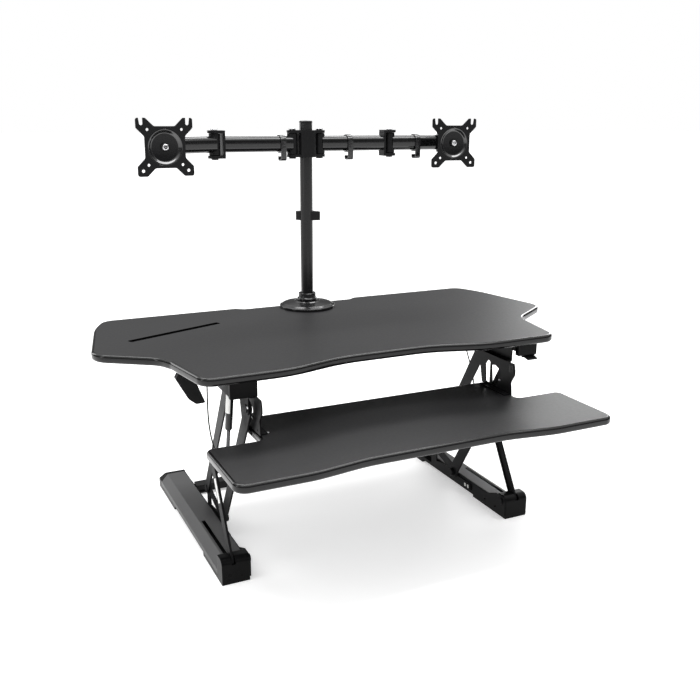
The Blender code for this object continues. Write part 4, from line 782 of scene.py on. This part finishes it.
def make_gas_spring():
    """Cylinder with a blank label, and the rod that slides in it."""
    down = (GAS_FOOT - GAS_TOP).normalized()
    bm = bmesh.new()
    add_turned(bm, [(0, 0.0088), (0.0050, 0.0088), (0.0056, 0.0100), (0.0056, 0.0120),
                    (0.0066, 0.0132), (0.0076, 0.0150), (GAS_RADIUS, 0.0168),
                    (GAS_RADIUS, 0.1110), (0.0076, 0.1118), (0.0076, 0.1128),
                    (GAS_RADIUS, 0.1136), (0.0078, 0.1158), (0.0070, 0.1180), (0.0058, 0.1196),
                    (0.0047, 0.1196), (0.0046, 0.028), (0, 0.028)], GAS_TOP, down, 48)
    add_turned(bm, [(0.0044, -0.0060), (0.0090, -0.0060), (0.0096, -0.0052), (0.0096, 0.0052),
                    (0.0090, 0.0060), (0.0044, 0.0060)], GAS_TOP, (1, 0, 0), 40)
    piece("spring_cylinder", bm, GLOSS, "gas_cylinder_body", ("gas_cylinder",),
          angle=60)
    label = [(radius * cos(radians(degrees)), radius * sin(radians(degrees)))
             for radius, span in (
                 (GAS_RADIUS + 0.0002, range(LABEL_START, LABEL_STOP + 1, LABEL_STEP)),
                 (GAS_RADIUS + 0.00005, range(LABEL_STOP, LABEL_START - 1, -LABEL_STEP)))
             for degrees in span]
    bm = bmesh.new()
    add_prism(bm, label, *LABEL_ENDS, "z")
    turn = Vector((0, 0, 1)).rotation_difference(down).to_matrix().to_4x4()
    bm.transform(Matrix.Translation(GAS_TOP) @ turn)
    piece("spring_label", bm, PAPER, "gas_cylinder_body")
    bm = bmesh.new()
    add_turned(bm, [(0, 0.006), (0.0055, 0.006), (0.0055, 0.0135), (0.0040, 0.0150),
                    (0.0040, 0.1020), (0.0034, 0.1030), (0, 0.1030)], GAS_FOOT, -down, 40)
    add_turned(bm, [(0, -0.0065), (0.0080, -0.0065), (0.0086, -0.0058), (0.0086, 0.0060),
                    (0.0080, 0.0068), (0, 0.0068)], GAS_FOOT, (1, 0, 0), 40)
    piece("spring_rod_fine", bm, ROD, "gas_rod_body", ("gas_rod",), angle=60)


# ------------------------------------------------------------------ small parts
LINK_BASE, LINK_MIDDLE = Vector((behind(0.018), 0.042)), Vector((-0.03953, 0.209475))
LINK_FACE_X = 0.3645
STRIP_START, STRIP_END, STRIP_INNER_X = 0.1415, 0.3925, 0.3812
RIB_PLACES, RIB_WIDTH = (-0.0275, -0.0225, -0.0175), 0.0014
LABEL_HALF_WIDTH = 0.0065


def upright(first, last, low, high):
    """Corners of a rectangle between two places behind the feet's fronts and two heights."""
    return [(behind(first), low), (behind(last), low), (behind(last), high), (behind(first), high)]


def add_stud(bm, place, radius, height, direction):
    """Domed screw head."""
    add_turned(bm, [(0, 0), (radius, 0), (radius, height * 0.3), (radius * 0.85, height * 0.75),
                    (radius * 0.5, height), (0, height)], place, direction, 24)


def make_small_parts():
    """Strips along the feet, dark sheets that paint the shade inside the hollow feet, hanger ribs,
    blank labels, screw heads, nylon guides.
    """
    for label, side in SIDES:
        # Light grey strip along the bottom of each foot's outer side, with a black band under it.
        bm = bmesh.new()
        strip = upright(STRIP_START, STRIP_END, 0.0030, 0.0076)
        add_prism(bm, strip, side * STRIP_INNER_X, side * 0.3836, "x")
        piece(f"foot_pale_strip_{label}", bm, PALE_STRIP_PAINT, "base", bevel=0.0003)
        bm = bmesh.new()
        lip = upright(STRIP_START, STRIP_END, 0.0008, 0.0029)
        add_prism(bm, lip, side * STRIP_INNER_X, side * 0.3838, "x")
        piece(f"foot_dark_lip_{label}", bm, RUBBER, "base", bevel=0.0003)
        bm = bmesh.new()
        for place in RIB_PLACES:
            corners = upright(place, place + RIB_WIDTH, 0.3840, 0.4025)
            rib = rounded([(*corner, 0.0005) for corner in corners], 3)
            add_prism(bm, rib, side * 0.3021, side * 0.3032, "x")
        piece(f"hanger_ribs_{label}", bm, GLOSS, "desk", bevel=0.0003)
        # Dark rubber sheet closing each foot from below: painted shade for the hollow inside, seen
        # through the cover's slot.
        bm = bmesh.new()
        add_prism(bm, upright(0.036, 0.523, 0.0088, 0.0100), side * 0.3275, side * 0.3808, "x")
        piece(f"foot_shade_sheet_{label}", bm, RUBBER, "base")
        along = (LINK_MIDDLE - LINK_BASE).normalized()
        across = Vector((-along.y, along.x)) * LABEL_HALF_WIDTH
        ends = (LINK_BASE + along * 0.124, LINK_BASE + along * 0.178)
        bm = bmesh.new()
        add_prism(bm, [tuple(ends[0] - across), tuple(ends[1] - across),
                       tuple(ends[1] + across), tuple(ends[0] + across)],
                  side * (LINK_FACE_X + 0.00002), side * (LINK_FACE_X + 0.0002), "x")
        piece(f"link_label_{label}", bm, PAPER, "front_links")
        bm = bmesh.new()
        for x, way in ((0.3030, -side), (0.3060, side)):
            add_stud(bm, (side * x, behind(0.0200), 0.3545), 0.0026, 0.0018, (way, 0, 0))
        if side < 0:
            add_stud(bm, (-0.2850, behind(-0.0110), TRAY_TOP), 0.0032, 0.0020, (0, 0, 1))
        piece(f"hanger_screws_{label}", bm, ZINC, "desk", angle=60)
        bm = bmesh.new()
        add_stud(bm, (side * 0.3205, behind(0.0060), 0.3830), 0.0034, 0.0016, (side, 0, 0))
        add_stud(bm, (side * 0.3095, behind(0.0180), 0.3770), 0.0034, 0.0014, (-side, 0, 0))
        piece(f"pivot_screws_{label}", bm, ZINC, "desk", angle=60)
        bm = bmesh.new()
        for place in (0.151, 0.164):
            add_prism(bm, rounded([(behind(place), 0.0205, 0.001),
                                   (behind(place + 0.006), 0.0205, 0.001),
                                   (behind(place + 0.008), 0.0285, 0.001),
                                   (behind(place + 0.002), 0.0285, 0.001)], 3),
                      side * 0.3192, side * 0.3207, "x")
        piece(f"glide_inserts_{label}", bm, NYLON, "carriages", bevel=0.0002)


# ------------------------------------------------------------------ release cables
CABLE_RADIUS, CABLE_SEGMENTS, CURVE_STEPS = 0.0017, 14, 6
# Each cable's points (X of the right side, distance behind the feet's fronts, Z), downwards.
CABLE_ROUTES = {
    "left": [(0.3500, 0.1935, 0.4426), (0.3500, 0.1930, 0.4200), (0.3500, 0.1915, 0.3810),
             (0.3500, 0.1930, 0.3170), (0.3490, 0.1860, 0.2750), (0.3470, 0.1690, 0.2440),
             (0.3450, 0.1450, 0.2230), (0.3440, 0.1276, 0.2125)],
    "right": [(0.3500, 0.2500, 0.4426), (0.3500, 0.2480, 0.4200), (0.3500, 0.2340, 0.3700),
              (0.3500, 0.2070, 0.3250), (0.3490, 0.1900, 0.2850), (0.3470, 0.1700, 0.2480),
              (0.3450, 0.1470, 0.2240), (0.3440, 0.1276, 0.2125)]}


def smooth_path(control):
    """Catmull-Rom curve through points."""
    points = []
    for index in range(len(control) - 1):
        before = control[max(index - 1, 0)]
        here, after = control[index], control[index + 1]
        beyond = control[min(index + 2, len(control) - 1)]
        for step in range(CURVE_STEPS):
            t = step / CURVE_STEPS
            points.append(0.5 * ((2 * here) + (after - before) * t
                                 + (2 * before - 5 * here + 4 * after - beyond) * t ** 2
                                 + (3 * here - before - 3 * after + beyond) * t ** 3))
    return points + [control[-1]]


def make_cables():
    """Release cables from the desktop to the linkage, built along their routes."""
    for label, side in SIDES:
        control = [Vector((side * x, behind(y), z)) for x, y, z in CABLE_ROUTES[label]]
        points = smooth_path(control)
        sections = []
        for index, point in enumerate(points):
            ahead = points[min(index + 1, len(points) - 1)] - points[max(index - 1, 0)]
            across = ahead.cross(Vector((1, 0, 0))).normalized()
            other = ahead.cross(across).normalized()
            sections.append([point + across * u + other * v
                             for u, v in circle((0, 0), CABLE_RADIUS, CABLE_SEGMENTS)])
        bm = bmesh.new()
        add_loft(bm, sections)
        cable = piece(f"cable_{label}", bm, RUBBER, None,
                      (f"release_cable_{label}",))
        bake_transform(cable)


# ------------------------------------------------------------------ release paddle
PIN_RADIUS, PIN_LENGTH = 0.0030, 0.0248


def make_paddle():
    """Moulded paddle with a chamfered face and its hinge pin."""
    outline = rounded([(-0.4400, 0.4310, 0.004), (-0.4140, 0.3830, 0.008),
                       (-0.3995, 0.3710, 0.010), (-0.3795, 0.3720, 0.002),
                       (-0.3960, 0.4150, 0.004), (-0.4180, 0.4400, 0.004),
                       (-0.4330, 0.4410, 0.004)], 8)
    bm = bmesh.new()
    add_prism(bm, outline, behind(0.102), behind(0.118), "y")
    piece("paddle_shell", bm, PLASTIC, "paddle", ("release_paddle",), 0.0030)
    bm = bmesh.new()
    add_turned(bm, [(0, 0), (PIN_RADIUS, 0), (PIN_RADIUS, PIN_LENGTH), (0, PIN_LENGTH)],
               (-0.4250, behind(0.0976), 0.4365), (0, 1, 0), 24)
    piece("paddle_pin", bm, DARK_BOLT, "paddle")


make_camera()
make_stage()
dress_kept_nodes()
make_boards()
make_mast()
make_plates()
make_arms()
make_gas_spring()
make_small_parts()
make_cables()
make_paddle()
